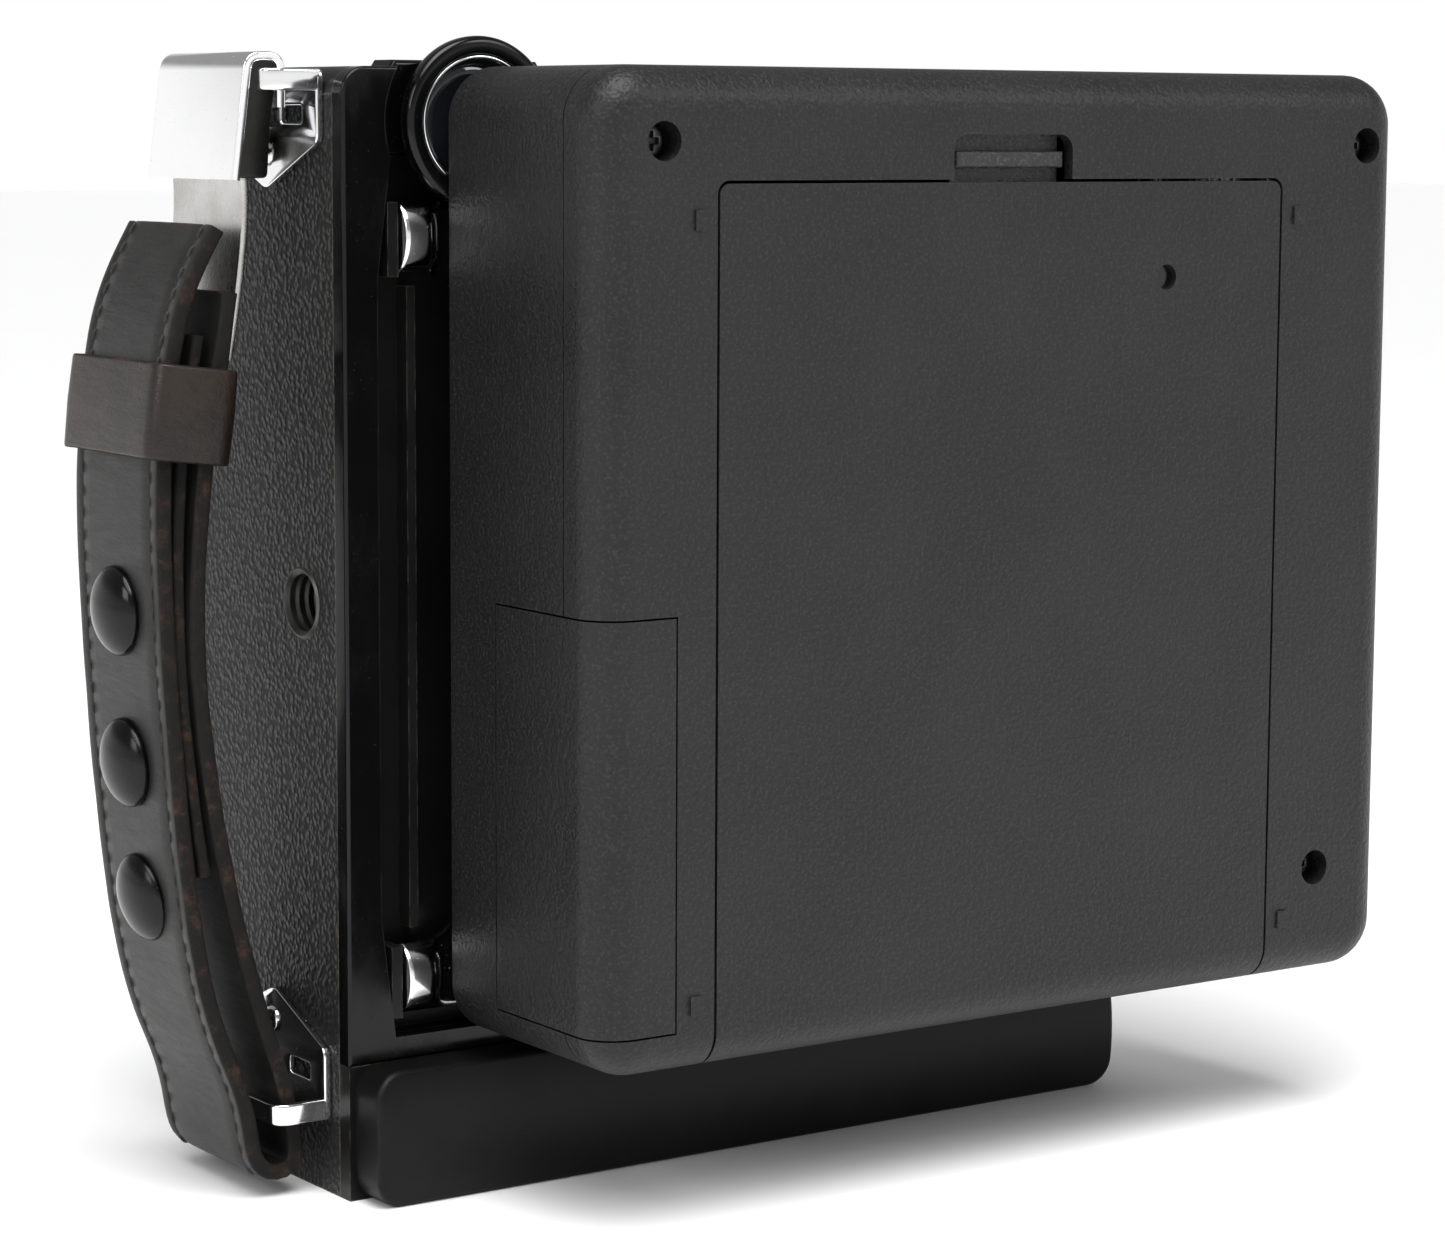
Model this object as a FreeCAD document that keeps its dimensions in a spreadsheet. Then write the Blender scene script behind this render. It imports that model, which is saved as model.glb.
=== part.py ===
"""Folding press camera with a motorised instant film back and a leather hand strap.

The camera stands on its base, +Z up, with the origin under the middle of its body.
The lens faces -Y, the film back faces +Y and the hand strap is on the +X side.
"""
import FreeCAD, Part
import Sketcher
import math
import os
import re
from FreeCAD import Placement, Rotation, Vector

doc = FreeCAD.newDocument("instant_camera")

# ---------------------------------------------------------------- driving sizes, in mm
SIZES = {
    # Camera body
    "body_width": 143.0, "body_height": 168.0, "body_depth": 53.0,
    "body_wall": 3.5, "skin": 1.0, "front_plate": 2.0, "rear_plate": 3.0,
    "web": 3.0, "web_depth": 6.5, "frame_band": 5.7, "frame_band_end": 8.0,
    "frame_slant": 18.0, "frame_top_band": 13.0, "frame_low_band": 3.5, "body_round": 4.0,
    # Base housing behind the body's foot
    "foot_height": 20.5, "foot_bulge": 8.0, "foot_curve": 40.0, "foot_round": 4.5, "foot_inset": 0.8,
    # Optical axis, bed opening and film gate
    "axis_inset": 73.4, "axis_rise": 64.0, "gate_width": 60.0, "gate_height": 88.0,
    "bed_width": 93.0, "bed_height": 126.0, "bed_thick": 2.5, "bed_skin": 0.8,
    "bed_play": 0.4, "bed_pin_r": 0.8, "bed_knuckle_r": 1.4, "bed_pin_set": 0.4,
    "bed_pin_rise": 1.6, "bed_knuckle_long": 14.0, "pin_play": 0.08,
    # Front standard, shutter and lens
    "standard_width": 84.0, "standard_height": 98.0, "standard_thick": 2.5,
    "board_side": 70.0, "board_thick": 2.5, "board_set": 22.0, "shutter_r": 28.0,
    "shutter_deep": 12.0, "aperture_r": 24.0, "aperture_thick": 2.6, "barrel_r": 17.0,
    "barrel_deep": 7.0, "glass_r": 13.0, "glass_thick": 4.0, "rear_glass_r": 12.0,
    "rear_cell_r": 15.0, "rear_cell_deep": 7.0, "lever_long": 12.0, "lever_wide": 4.0,
    "bellows_width": 76.0, "bellows_height": 92.0, "bellows_wall": 5.0,
    "brace_long": 55.0, "brace_wide": 6.0, "brace_thick": 1.2, "brace_rise": 50.0,
    "brace_set": 7.1, "brace_pin_r": 1.4, "brace_play": 0.9,
    # Finder and rangefinder across the top of the body
    "finder_drop": 8.0, "finder_in": 22.5, "finder_high": 11.0, "finder_wide": 18.0,
    "finder_floor": 153.0, "finder_length": 90.0, "range_window": 8.0, "window_thick": 1.6,
    "eye_r": 12.6, "eye_neck_r": 11.0, "eye_chrome_r": 9.8, "eye_lens_r": 8.4, "eye_bore_r": 5.2,
    "eye_deep": 3.0, "eye_gap": 0.3, "boss_r": 15.2, "boss_proud": 1.0, "boss_set": 2.6,
    # Release buttons on the front
    "release_r": 6.0, "release_proud": 2.5, "release_rise": 96.0, "release_in": 20.0,
    "catch_r": 3.2, "catch_proud": 1.6, "catch_rise": 9.0, "catch_x": 32.0, "catch_deep": 6.0,
    "button_play": 0.35,
    # Tripod bushes in the strap side and the base
    "bush_r": 5.4, "bush_bore_r": 4.76, "bush_deep": 12.0, "bush_floor": 2.0, "bush_proud": 0.3,
    "bush_y": 13.1, "bush_rise": 88.8,
    # Strap lugs, hook and strap
    "lug_plate": 1.2, "lug_wide": 32.0, "lug_y": 5.0, "lug_stand": 9.5, "lug_bar": 3.2,
    "lug_metal": 1.5, "lug_drop": 2.0, "lug_low": 13.0, "lug_shoulder": 9.0, "lug_apex": 16.0,
    "strap_width": 27.0, "strap_thick": 2.5, "pad_thick": 1.8, "hook_metal": 1.4,
    "tongue_width": 22.0, "tongue_thick": 1.2, "keeper_tall": 14.0, "keeper_thick": 1.5,
    "keeper_part": 0.686, "keeper_stand": 20.6, "keeper_in": 9.9, "keeper_tilt": 7.0,
    "keeper_play": 0.35, "snap_r": 6.7, "snap_dome": 2.6, "snap_rim": 0.7,
    # Lock bars and the adapter that carry the film back
    "back_gap": 2.3, "lock_high": 10.4, "lock_thick": 1.5, "lock_long": 66.0, "lock_end": 10.0,
    "lock_bulge": 2.6, "lock_tab": 5.0, "lock_upper": 138.0, "lock_lower": 27.3,
    "rib_wide": 1.5, "rib_deep": 3.0, "rib_in": 14.0, "adapter_side": 14.0, "adapter_border": 5.0,
    # Instant film back: case, doors, cells
    "back_inset": 16.0, "back_rise": 24.0, "back_width": 152.8, "back_height": 144.1,
    "back_depth": 41.2, "back_wall": 2.0, "back_corner": 8.0, "back_edge": 6.0, "seam_depth": 9.2,
    "part_line": 0.25,
    "door_left": 19.8, "door_width": 107.2, "door_height": 128.0, "door_gap": 0.45,
    "door_round": 2.0, "door_pin_r": 0.6, "door_knuckle_r": 1.3, "door_ear_r": 1.4, "door_pin_rise": 1.45,
    "door_pin_set": 1.7, "door_relief": 1.4, "door_knuckle_long": 16.0, "peep_x": 103.4,
    "peep_z": 113.0, "peep_r": 1.95, "pad_wide": 9.0, "pad_tall": 70.0, "pad_out": 24.0,
    "cell_left": 13.3, "cell_deep": 27.9, "cell_low": 6.2, "cell_tall": 60.5, "cell_gap": 0.3,
    "cell_r": 7.1, "cell_long": 50.0, "cell_cap_r": 2.6, "cell_cap": 1.0, "cell_pitch": 15.2,
    "recess_left": 61.9, "recess_width": 22.5, "recess_height": 6.6, "latch_bar": 2.4,
    "latch_play": 0.5, "latch_thick": 1.2, "screw_well_r": 2.8, "screw_r": 2.2, "screw_deep": 5.0,
    "nub_wide": 2.0, "nub_tall": 2.8, "nub_proud": 0.4,
    # Instant film back: pack, rollers and drive
    "pack_width": 101.0, "pack_height": 121.4, "pack_depth": 12.0, "pack_wall": 1.5,
    "pack_clear": 2.0, "film_width": 86.0, "film_height": 108.0, "film_deep": 5.0,
    "image_width": 62.0, "image_height": 99.0, "slot_tall": 112.0, "slot_wide": 3.0,
    "roller_x": 129.2, "roller_r": 4.0, "roller_long": 112.0, "journal_r": 1.5, "nip": 0.4,
    "bracket_thick": 1.5, "bracket_gap": 2.0, "gear_module": 0.6, "gear_teeth": 32.0,
    "pinion_teeth": 12.0, "gear_thick": 3.0, "motor_r": 7.0, "motor_long": 22.0, "motor_shaft_r": 0.8,
    "board_wall_gap": 4.0, "circuit_thick": 1.2, "circuit_tall": 74.0, "circuit_wide": 17.0,
    "eject_r": 3.6, "eject_proud": 0.8, "eject_y": 38.0, "eject_z": 70.0,
}

# ---------------------------------------------------------------- places worked out from the sizes
PLACES = {
    "side": "body_width/2", "front": "-body_depth/2", "rear": "body_depth/2",
    "shell_side": "side - skin", "shell_front": "front + front_plate",
    "shell_rear": "rear - rear_plate", "web_rear": "rear - web_depth", "web_front": "web_rear - web",
    "back_left": "side - back_inset", "back_right": "back_left - back_width",
    "back_front": "rear + back_gap", "back_rear": "back_front + back_depth",
    "back_low": "back_rise", "back_top": "back_low + back_height", "seam": "back_rear - seam_depth",
    "axis_x": "back_left - axis_inset", "axis_z": "back_low + axis_rise",
    "bed_left": "axis_x + bed_width/2", "bed_right": "axis_x - bed_width/2",
    "bed_low": "back_low", "bed_top": "bed_low + bed_height",
    "bed_hinge_y": "front + bed_pin_set", "bed_hinge_z": "bed_low + bed_pin_rise",
    "bed_inner": "front + bed_skin + bed_thick",
    "board_front": "front + board_set + 2.5", "board_rear": "board_front + board_thick",
    "standard_rear": "board_rear + standard_thick", "shutter_front": "board_front - shutter_deep",
    "barrel_front": "shutter_front - barrel_deep",
    "eye_x": "side - finder_in", "eye_z": "body_height - finder_drop",
    "eye_base": "back_front - eye_gap - eye_deep", "boss_front": "rear - boss_set",
    "lug_high": "body_height - lug_drop", "bar_outer": "side + lug_stand",
    "lock_y": "web_rear + 3.6",
    "film_y": "back_rear - back_wall - pack_clear - pack_depth",
    "door_x1": "back_left - door_left", "door_x0": "door_x1 - door_width",
    "door_z1": "back_low + door_height",
    "door_hinge_y": "seam + door_pin_set", "door_hinge_z": "back_low + door_pin_rise",
    "roll_x": "back_left - roller_x", "drive_y": "film_y + slot_wide/2 - roller_r - nip/2",
    "pinch_y": "film_y + slot_wide/2 + roller_r + nip/2",
    "gear_r": "gear_module*gear_teeth/2", "pinion_r": "gear_module*pinion_teeth/2",
    "motor_y": "drive_y - gear_r - pinion_r", "roll_low": "axis_z - roller_long/2",
    "roll_top": "axis_z + roller_long/2", "gear_low": "roll_top + bracket_gap*2 + bracket_thick",
    "cell_x": "back_left - back_wall - cell_r - 0.7", "cell_y": "back_rear - back_wall - cell_r - 1.2",
    "cell_z": "back_low + cell_low + (cell_tall - cell_long - cell_cap)/2",
    "brace_y": "bed_hinge_y + brace_set", "brace_z": "bed_hinge_z + brace_rise",
    "range_x": "eye_x + finder_wide/2 - finder_length + range_window/2 + 2",
}


def words(formula, table):
    """Point each word of a formula at the sheet or the set of places it comes from."""
    def swap(found):
        word = found.group()
        if word in SIZES:
            return "Sizes." + word
        return "Places." + word if word in table else word
    return re.sub(r"[a-z][a-z_0-9]*", swap, str(formula))


def bind(item, prop, formula):
    """Tie one property of an object to a formula."""
    item.setExpression(prop, words(formula, PLACES))


sheet = doc.addObject("Spreadsheet::Sheet", "Sizes")
for row, (alias, size) in enumerate(SIZES.items(), start=1):
    sheet.set(f"A{row}", alias)
    sheet.set(f"B{row}", str(size))
    sheet.setAlias(f"B{row}", alias)
doc.recompute()

places = doc.addObject("App::VarSet", "Places")
for place, formula in PLACES.items():
    places.addProperty("App::PropertyFloat", place, "Places")
for place, formula in PLACES.items():
    bind(places, place, formula)
doc.recompute()


def val(name):
    """The present value of a size or a place."""
    return float(getattr(sheet if name in SIZES else places, name))


scratch = doc.addObject("App::VarSet", "Scratch")
scratch.addProperty("App::PropertyFloat", "Value", "Scratch")


def number(formula):
    """The present value of a formula, worked out by a scratch property."""
    bind(scratch, "Value", formula)
    scratch.recompute()
    return float(scratch.Value)


NODES = []


def keep(item):
    """Mark an object as one of the camera's pieces."""
    NODES.append(item)
    return item


# ---------------------------------------------------------------- primitives and booleans
def box(label, x, y, z):
    """A block between two formulas along each axis."""
    item = doc.addObject("Part::Box", label)
    for span, length, base in ((x, "Length", "x"), (y, "Width", "y"), (z, "Height", "z")):
        bind(item, length, f"({span[1]}) - ({span[0]})")
        bind(item, f"Placement.Base.{base}", span[0])
    return item


TURNS = {"x": Rotation(Vector(0, 1, 0), 90), "y": Rotation(Vector(1, 0, 0), -90), "z": Rotation()}


def rod(label, axis, centre, radius, length):
    """A cylinder that starts at centre and runs along an axis."""
    item = doc.addObject("Part::Cylinder", label)
    item.Placement = Placement(Vector(), TURNS[axis])
    bind(item, "Radius", radius)
    bind(item, "Height", length)
    for base, place in zip("xyz", centre):
        bind(item, f"Placement.Base.{base}", place)
    return item


def join(label, *items):
    """Several solids as one."""
    item = doc.addObject("Part::MultiFuse", label)
    item.Shapes = list(items)
    item.Refine = True
    return item


def cut(label, base, *tools):
    """One solid less the tools."""
    item = doc.addObject("Part::Cut", label)
    item.Base = base
    item.Tool = tools[0] if len(tools) == 1 else join(label + "_tools", *tools)
    item.Refine = True
    return item


def common(label, *items):
    """What several solids share."""
    item = doc.addObject("Part::MultiCommon", label)
    item.Shapes = list(items)
    return item


def group(label, *items):
    """Separate solids that share one piece's name."""
    item = doc.addObject("Part::Compound", label)
    item.Links = list(items)
    return item


def rounded(label, base, radius, pick):
    """Round the edges that pick() accepts."""
    doc.recompute()
    item = doc.addObject("Part::Fillet", label)
    item.Base = base
    size = val(radius) if isinstance(radius, str) else radius
    item.Edges = [(n, size, size) for n, edge in enumerate(base.Shape.Edges, start=1) if pick(edge)]
    return item


def along(edge, axis):
    """Is this a straight edge along an axis?"""
    if edge.Curve.TypeId != "Part::GeomLine":
        return False
    return abs(getattr(edge.tangentAt(edge.FirstParameter), axis)) > 0.999


def at(edge, axis, place):
    """Does the whole edge lie at one place along an axis?"""
    low, high = (getattr(edge.BoundBox, axis.upper() + end) for end in ("Min", "Max"))
    return abs(low - place) < 0.01 and abs(high - place) < 0.01


# ---------------------------------------------------------------- sketched bodies
PLANES = {"XY": "XY_Plane", "XZ": "XZ_Plane", "YZ": "YZ_Plane"}


def new_body(label):
    """An empty PartDesign body."""
    return doc.addObject("PartDesign::Body", label)


def outline(body, name, plane, points):
    """A closed polygon whose corners are formulas, sketched on one of the body's planes."""
    sketch = body.newObject("Sketcher::SketchObject", name)
    role = PLANES[plane]
    sketch.AttachmentSupport = [(next(f for f in body.Origin.OriginFeatures if f.Role == role), "")]
    sketch.MapMode = "FlatFace"
    spots = [Vector(number(u), number(v), 0) for u, v in points]
    for start, end in zip(spots, spots[1:] + spots[:1]):
        sketch.addGeometry(Part.LineSegment(start, end), False)
    for n in range(len(spots)):
        sketch.addConstraint(Sketcher.Constraint("Coincident", n, 2, (n + 1) % len(spots), 1))
    for n, corner in enumerate(points):
        for kind, formula, spot in zip(("DistanceX", "DistanceY"), corner, (spots[n].x, spots[n].y)):
            index = sketch.addConstraint(Sketcher.Constraint(kind, -1, 1, n, 1, spot))
            sketch.setExpression(f"Constraints[{index}]", words(formula, PLACES))
    return sketch


def pad(body, sketch, length, midplane=False):
    """Push a sketch out into a solid."""
    feature = body.newObject("PartDesign::Pad", sketch.Name + "_pad")
    feature.Profile = sketch
    bind(feature, "Length", length)
    feature.Midplane = midplane
    return feature


def turned(label, axis, centre, profile):
    """A turned piece: a profile of (radius, distance along the axis) formulas, spun about the axis."""
    body = new_body(label)
    sketch = outline(body, label + "_profile", "XZ", profile)
    feature = body.newObject("PartDesign::Revolution", label + "_turn")
    feature.Profile = sketch
    feature.ReferenceAxis = (sketch, ["V_Axis"])
    feature.Angle = 360
    body.Placement = Placement(Vector(), TURNS[axis])
    for base, place in zip("xyz", centre):
        bind(body, f"Placement.Base.{base}", place)
    return body


def prism(label, plane, points, start, length):
    """A straight-sided block: an outline on a plane, pushed out along the plane's normal axis."""
    body = new_body(label)
    pad(body, outline(body, label + "_outline", plane, points), length)
    base = {"XY": "z", "XZ": "y", "YZ": "x"}[plane]
    bind(body, f"Placement.Base.{base}", f"{start} + {length}" if plane == "XZ" else start)
    return body


# ---------------------------------------------------------------- camera body
def round_shoulders(label, block):
    """Round the two long upper edges of a block that is as wide as the body."""
    return rounded(label, block, "body_round",
                   lambda edge: along(edge, "y") and at(edge, "z", val("body_height")))


def body_shell():
    """The cast body: walls round the bellows space, the film web and the finder channel."""
    blank = round_shoulders("shell_blank", box("shell_block", ("-side", "side"), ("shell_front", "shell_rear"),
                                               ("0", "body_height")))
    panel_seats = [box(f"panel_seat_{n}", x, ("shell_front - 1", "shell_rear + 1"),
                       ("-1", "body_height - body_round"))
                   for n, x in enumerate((("-side - 1", "-shell_side"), ("shell_side", "side + 1")))]
    bellows_space = box("bellows_space", ("bed_right", "bed_left"), ("shell_front - 1", "web_front"),
                        ("bed_low", "bed_top"))
    gate = box("film_gate", ("axis_x - gate_width/2", "axis_x + gate_width/2"),
               ("web_front - 1", "web_rear + 1"), ("axis_z - gate_height/2", "axis_z + gate_height/2"))
    recess = box("rear_recess", ("frame_band - side", "side - frame_band"),
                 ("web_rear", "shell_rear + 1"),
                 ("foot_height + frame_low_band", "body_height - frame_top_band"))
    side_space = box("side_space", ("bed_left + body_wall", "shell_side - body_wall"),
                     ("shell_front - 1", "web_front"),
                     ("2*body_wall", "finder_floor - body_wall"))
    boss = rod("bush_boss", "x", ("side - bush_deep - body_wall", "bush_y", "bush_rise"),
               "bush_r + 1.2", "bush_deep")
    bush_hole = rod("bush_hole", "x", ("side - bush_deep", "bush_y", "bush_rise"), "bush_r",
                    "bush_deep + 1")
    channel = box("finder_channel", ("eye_x + finder_wide/2 - finder_length", "eye_x + finder_wide/2"),
                  ("shell_front - 1", "web_front - 2"), ("finder_floor", "finder_floor + finder_high"))
    eye_tunnel = rod("eye_tunnel", "y", ("eye_x", "web_front - 3", "finder_floor + finder_high/2"),
                     "eye_bore_r", "20")
    seat = box("boss_seat", ("eye_x - boss_r", "eye_x + boss_r"), ("web_front + 1", "shell_rear + 1"),
               ("body_height - frame_top_band", "body_height + 1"))
    catch_hole = rod("catch_pocket", "y", ("axis_x - catch_x", "shell_front - 1",
                                           "body_height - catch_rise"),
                     "catch_r + button_play", "catch_deep + 1")
    lock_pins = [rod(f"brace_hole_{n}", "x", (start, "brace_y", "brace_z"), "brace_pin_r", "2.5")
                 for n, start in enumerate(("bed_left - 0.01", "bed_right - 2.49"))]
    hollow = cut("shell_hollow", blank, bellows_space, gate, recess, side_space, channel, eye_tunnel,
                 seat, catch_hole, *panel_seats, *lock_pins)
    foot = box("foot_block", ("-side", "side"), ("shell_rear", "rear"), ("0", "foot_height"))
    base_hole = rod("base_bush_hole", "z", ("axis_x", "0", "-1"), "bush_r", "bush_deep + 1")
    return keep(cut("body_shell", join("shell_bossed", hollow, boss, foot), bush_hole, base_hole))


def rear_frame():
    """The glossy frame round the film back's recess; its inner edge slants out at both ends."""
    mid, end = "(side - frame_band)", "(side - frame_band_end)"
    low, high = "(foot_height + frame_low_band)", "(body_height - frame_top_band)"
    half = [(mid, f"{low} + frame_slant"), (mid, f"{high} - frame_slant"), (end, high)]
    inner = [(end, low)] + half
    mirrored = [(f"-{u}", v) for u, v in reversed(inner)]
    opening = prism("frame_opening", "XZ", inner + mirrored, "shell_rear - 1", "rear_plate + 2")
    plate = box("frame_blank", ("-side", "side"), ("shell_rear", "rear"), ("foot_height", "body_height"))
    plate = round_shoulders("frame_shouldered", plate)
    plate = rounded("frame_eased", plate, 0.5, lambda edge: at(edge, "y", val("rear")))
    seat = rod("frame_boss_seat", "y", ("eye_x", "shell_rear - 1", "eye_z"), "boss_r + 0.2", "10")
    return keep(cut("rear_frame", plate, opening, seat))


def base_housing():
    """The rounded housing across the back of the foot, with a convex rear face."""
    blank = box("foot_blank", ("foot_inset - side", "side - foot_inset"), ("rear", "rear + foot_bulge + 2"),
                ("0", "foot_height"))
    blank = rounded("foot_cornered", blank, "foot_round", lambda edge: along(edge, "y"))
    curve = rod("foot_curve", "x", ("-side", "rear + foot_bulge - foot_curve", "foot_height*0.45"),
                "foot_curve", "body_width")
    convex = common("foot_convex", blank, curve)
    return keep(rounded("base_housing", convex, 1.0, lambda edge: edge.BoundBox.YMin > val("rear") + 1))


def side_panels():
    """The leatherette panels glued to both sides of the shell."""
    depth, tall = ("shell_front", "shell_rear"), ("0", "body_height - body_round")
    strap_side = box("panel_blank", ("shell_side", "side"), depth, tall)
    hole = rod("panel_bush_hole", "x", ("shell_side - 1", "bush_y", "bush_rise"), "bush_r", "4")
    far_side = box("panel_far", ("-side", "-shell_side"), depth, tall)
    keep(group("side_leatherettes", cut("panel_near", strap_side, hole), far_side))


def front_plate():
    """The front plate, with the bed opening, finder windows, button holes and hinge ears."""
    blank = box("front_blank", ("-side", "side"), ("front", "shell_front"), ("0", "body_height"))
    blank = round_shoulders("front_shouldered", blank)
    blank = rounded("front_eased", blank, 0.8, lambda edge: at(edge, "y", val("front")))
    bed = box("front_bed_opening", ("bed_right", "bed_left"), ("front - 1", "shell_front + 1"),
              ("bed_low", "bed_top"))
    finder = box("front_finder_opening", ("eye_x - finder_wide/2 + 1", "eye_x + finder_wide/2 - 1"),
                 ("front - 1", "shell_front + 1"), ("finder_floor + 1", "finder_floor + finder_high - 1"))
    range_hole = box("front_range_opening", ("range_x - range_window/2", "range_x + range_window/2"),
                     ("front - 1", "shell_front + 1"),
                     ("finder_floor + 1", "finder_floor + finder_high - 1"))
    release = rod("front_release_hole", "y", ("side - release_in", "front - 1", "release_rise"),
                  "release_r + button_play", "front_plate + 2")
    catch = rod("front_catch_hole", "y", ("axis_x - catch_x", "front - 1", "body_height - catch_rise"),
                "catch_r + button_play", "front_plate + 2")
    plate = cut("front_cut", blank, bed, finder, range_hole, release, catch)
    ears = [rod(f"bed_ear_{n}", "x", (start, "bed_hinge_y", "bed_hinge_z"), "bed_knuckle_r",
                "bed_knuckle_long")
            for n, start in enumerate(("bed_right", "bed_left - bed_knuckle_long"))]
    roots = [box(f"bed_ear_root_{n}", (start, f"{start} + bed_knuckle_long"), ("front + 0.1", "front + 1.2"),
                 ("bed_low - 1", "bed_hinge_z"))
             for n, start in enumerate(("bed_right", "bed_left - bed_knuckle_long"))]
    pin = rod("front_pin_bore", "x", ("bed_right - 1", "bed_hinge_y", "bed_hinge_z"), "bed_pin_r",
              "bed_width + 2")
    return keep(cut("front_plate", join("front_eared", plate, *ears, *roots), pin))


def bed():
    """The drop bed: panel, leatherette and the hinge pin that carries it."""
    panel = box("bed_panel", ("bed_right + bed_play", "bed_left - bed_play"),
                ("front + bed_skin", "bed_inner"), ("bed_low + bed_play", "bed_top - bed_play"))
    notches = [box(f"bed_notch_{n}", x, ("front - 2", "bed_inner + 1"),
                   ("bed_low - 1", "bed_hinge_z + bed_knuckle_r + bed_play"))
               for n, x in enumerate((("bed_right - 1", "bed_right + bed_knuckle_long + bed_play"),
                                      ("bed_left - bed_knuckle_long - bed_play", "bed_left + 1")))]
    knuckle = rod("bed_knuckle", "x", ("bed_right + bed_knuckle_long + bed_play", "bed_hinge_y",
                                       "bed_hinge_z"),
                  "bed_knuckle_r", "bed_width - 2*bed_knuckle_long - 2*bed_play")
    bore = rod("bed_bore", "x", ("bed_right", "bed_hinge_y", "bed_hinge_z"), "bed_pin_r + pin_play",
               "bed_width")
    notched = cut("bed_notched", panel, *notches)
    keep(cut("bed_door", join("bed_knuckled", notched, knuckle), bore))
    keep(box("bed_leatherette", ("bed_right + 2.5", "bed_left - 2.5"), ("front", "front + bed_skin"),
             ("bed_hinge_z + 3", "bed_top - 2.5")))
    keep(rod("bed_hinge_pin", "x", ("bed_right", "bed_hinge_y", "bed_hinge_z"), "bed_pin_r", "bed_width"))


def braces():
    """The two arms that swing down to hold the open bed, and the pins that carry them."""
    arms, pins = [], []
    for label, low, high, pin_from in (
            ("brace_left", "bed_left - brace_play - brace_thick", "bed_left - brace_play",
             "bed_left - brace_play - brace_thick - 0.6"),
            ("brace_right", "bed_right + brace_play", "bed_right + brace_play + brace_thick",
             "bed_right - 2.4")):
        arm = box(label + "_arm", (low, high), ("brace_y - brace_wide/2", "brace_y + brace_wide/2"),
                  ("brace_z", "brace_z + brace_long"))
        ends = [rod(f"{label}_end_{n}", "x", (low, "brace_y", z), "brace_wide/2", "brace_thick")
                for n, z in enumerate(("brace_z", "brace_z + brace_long"))]
        hole = rod(label + "_hole", "x", (f"{low} - 1", "brace_y", "brace_z"),
                   "brace_pin_r + pin_play", "brace_thick + 2")
        arms.append(cut(label, join(label + "_blank", arm, *ends), hole))
        pins.append(rod(label + "_pin", "x", (pin_from, "brace_y", "brace_z"), "brace_pin_r",
                        "brace_play + brace_thick + 3"))
    keep(group("bed_braces", *arms))
    keep(group("brace_pins", *pins))


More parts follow.
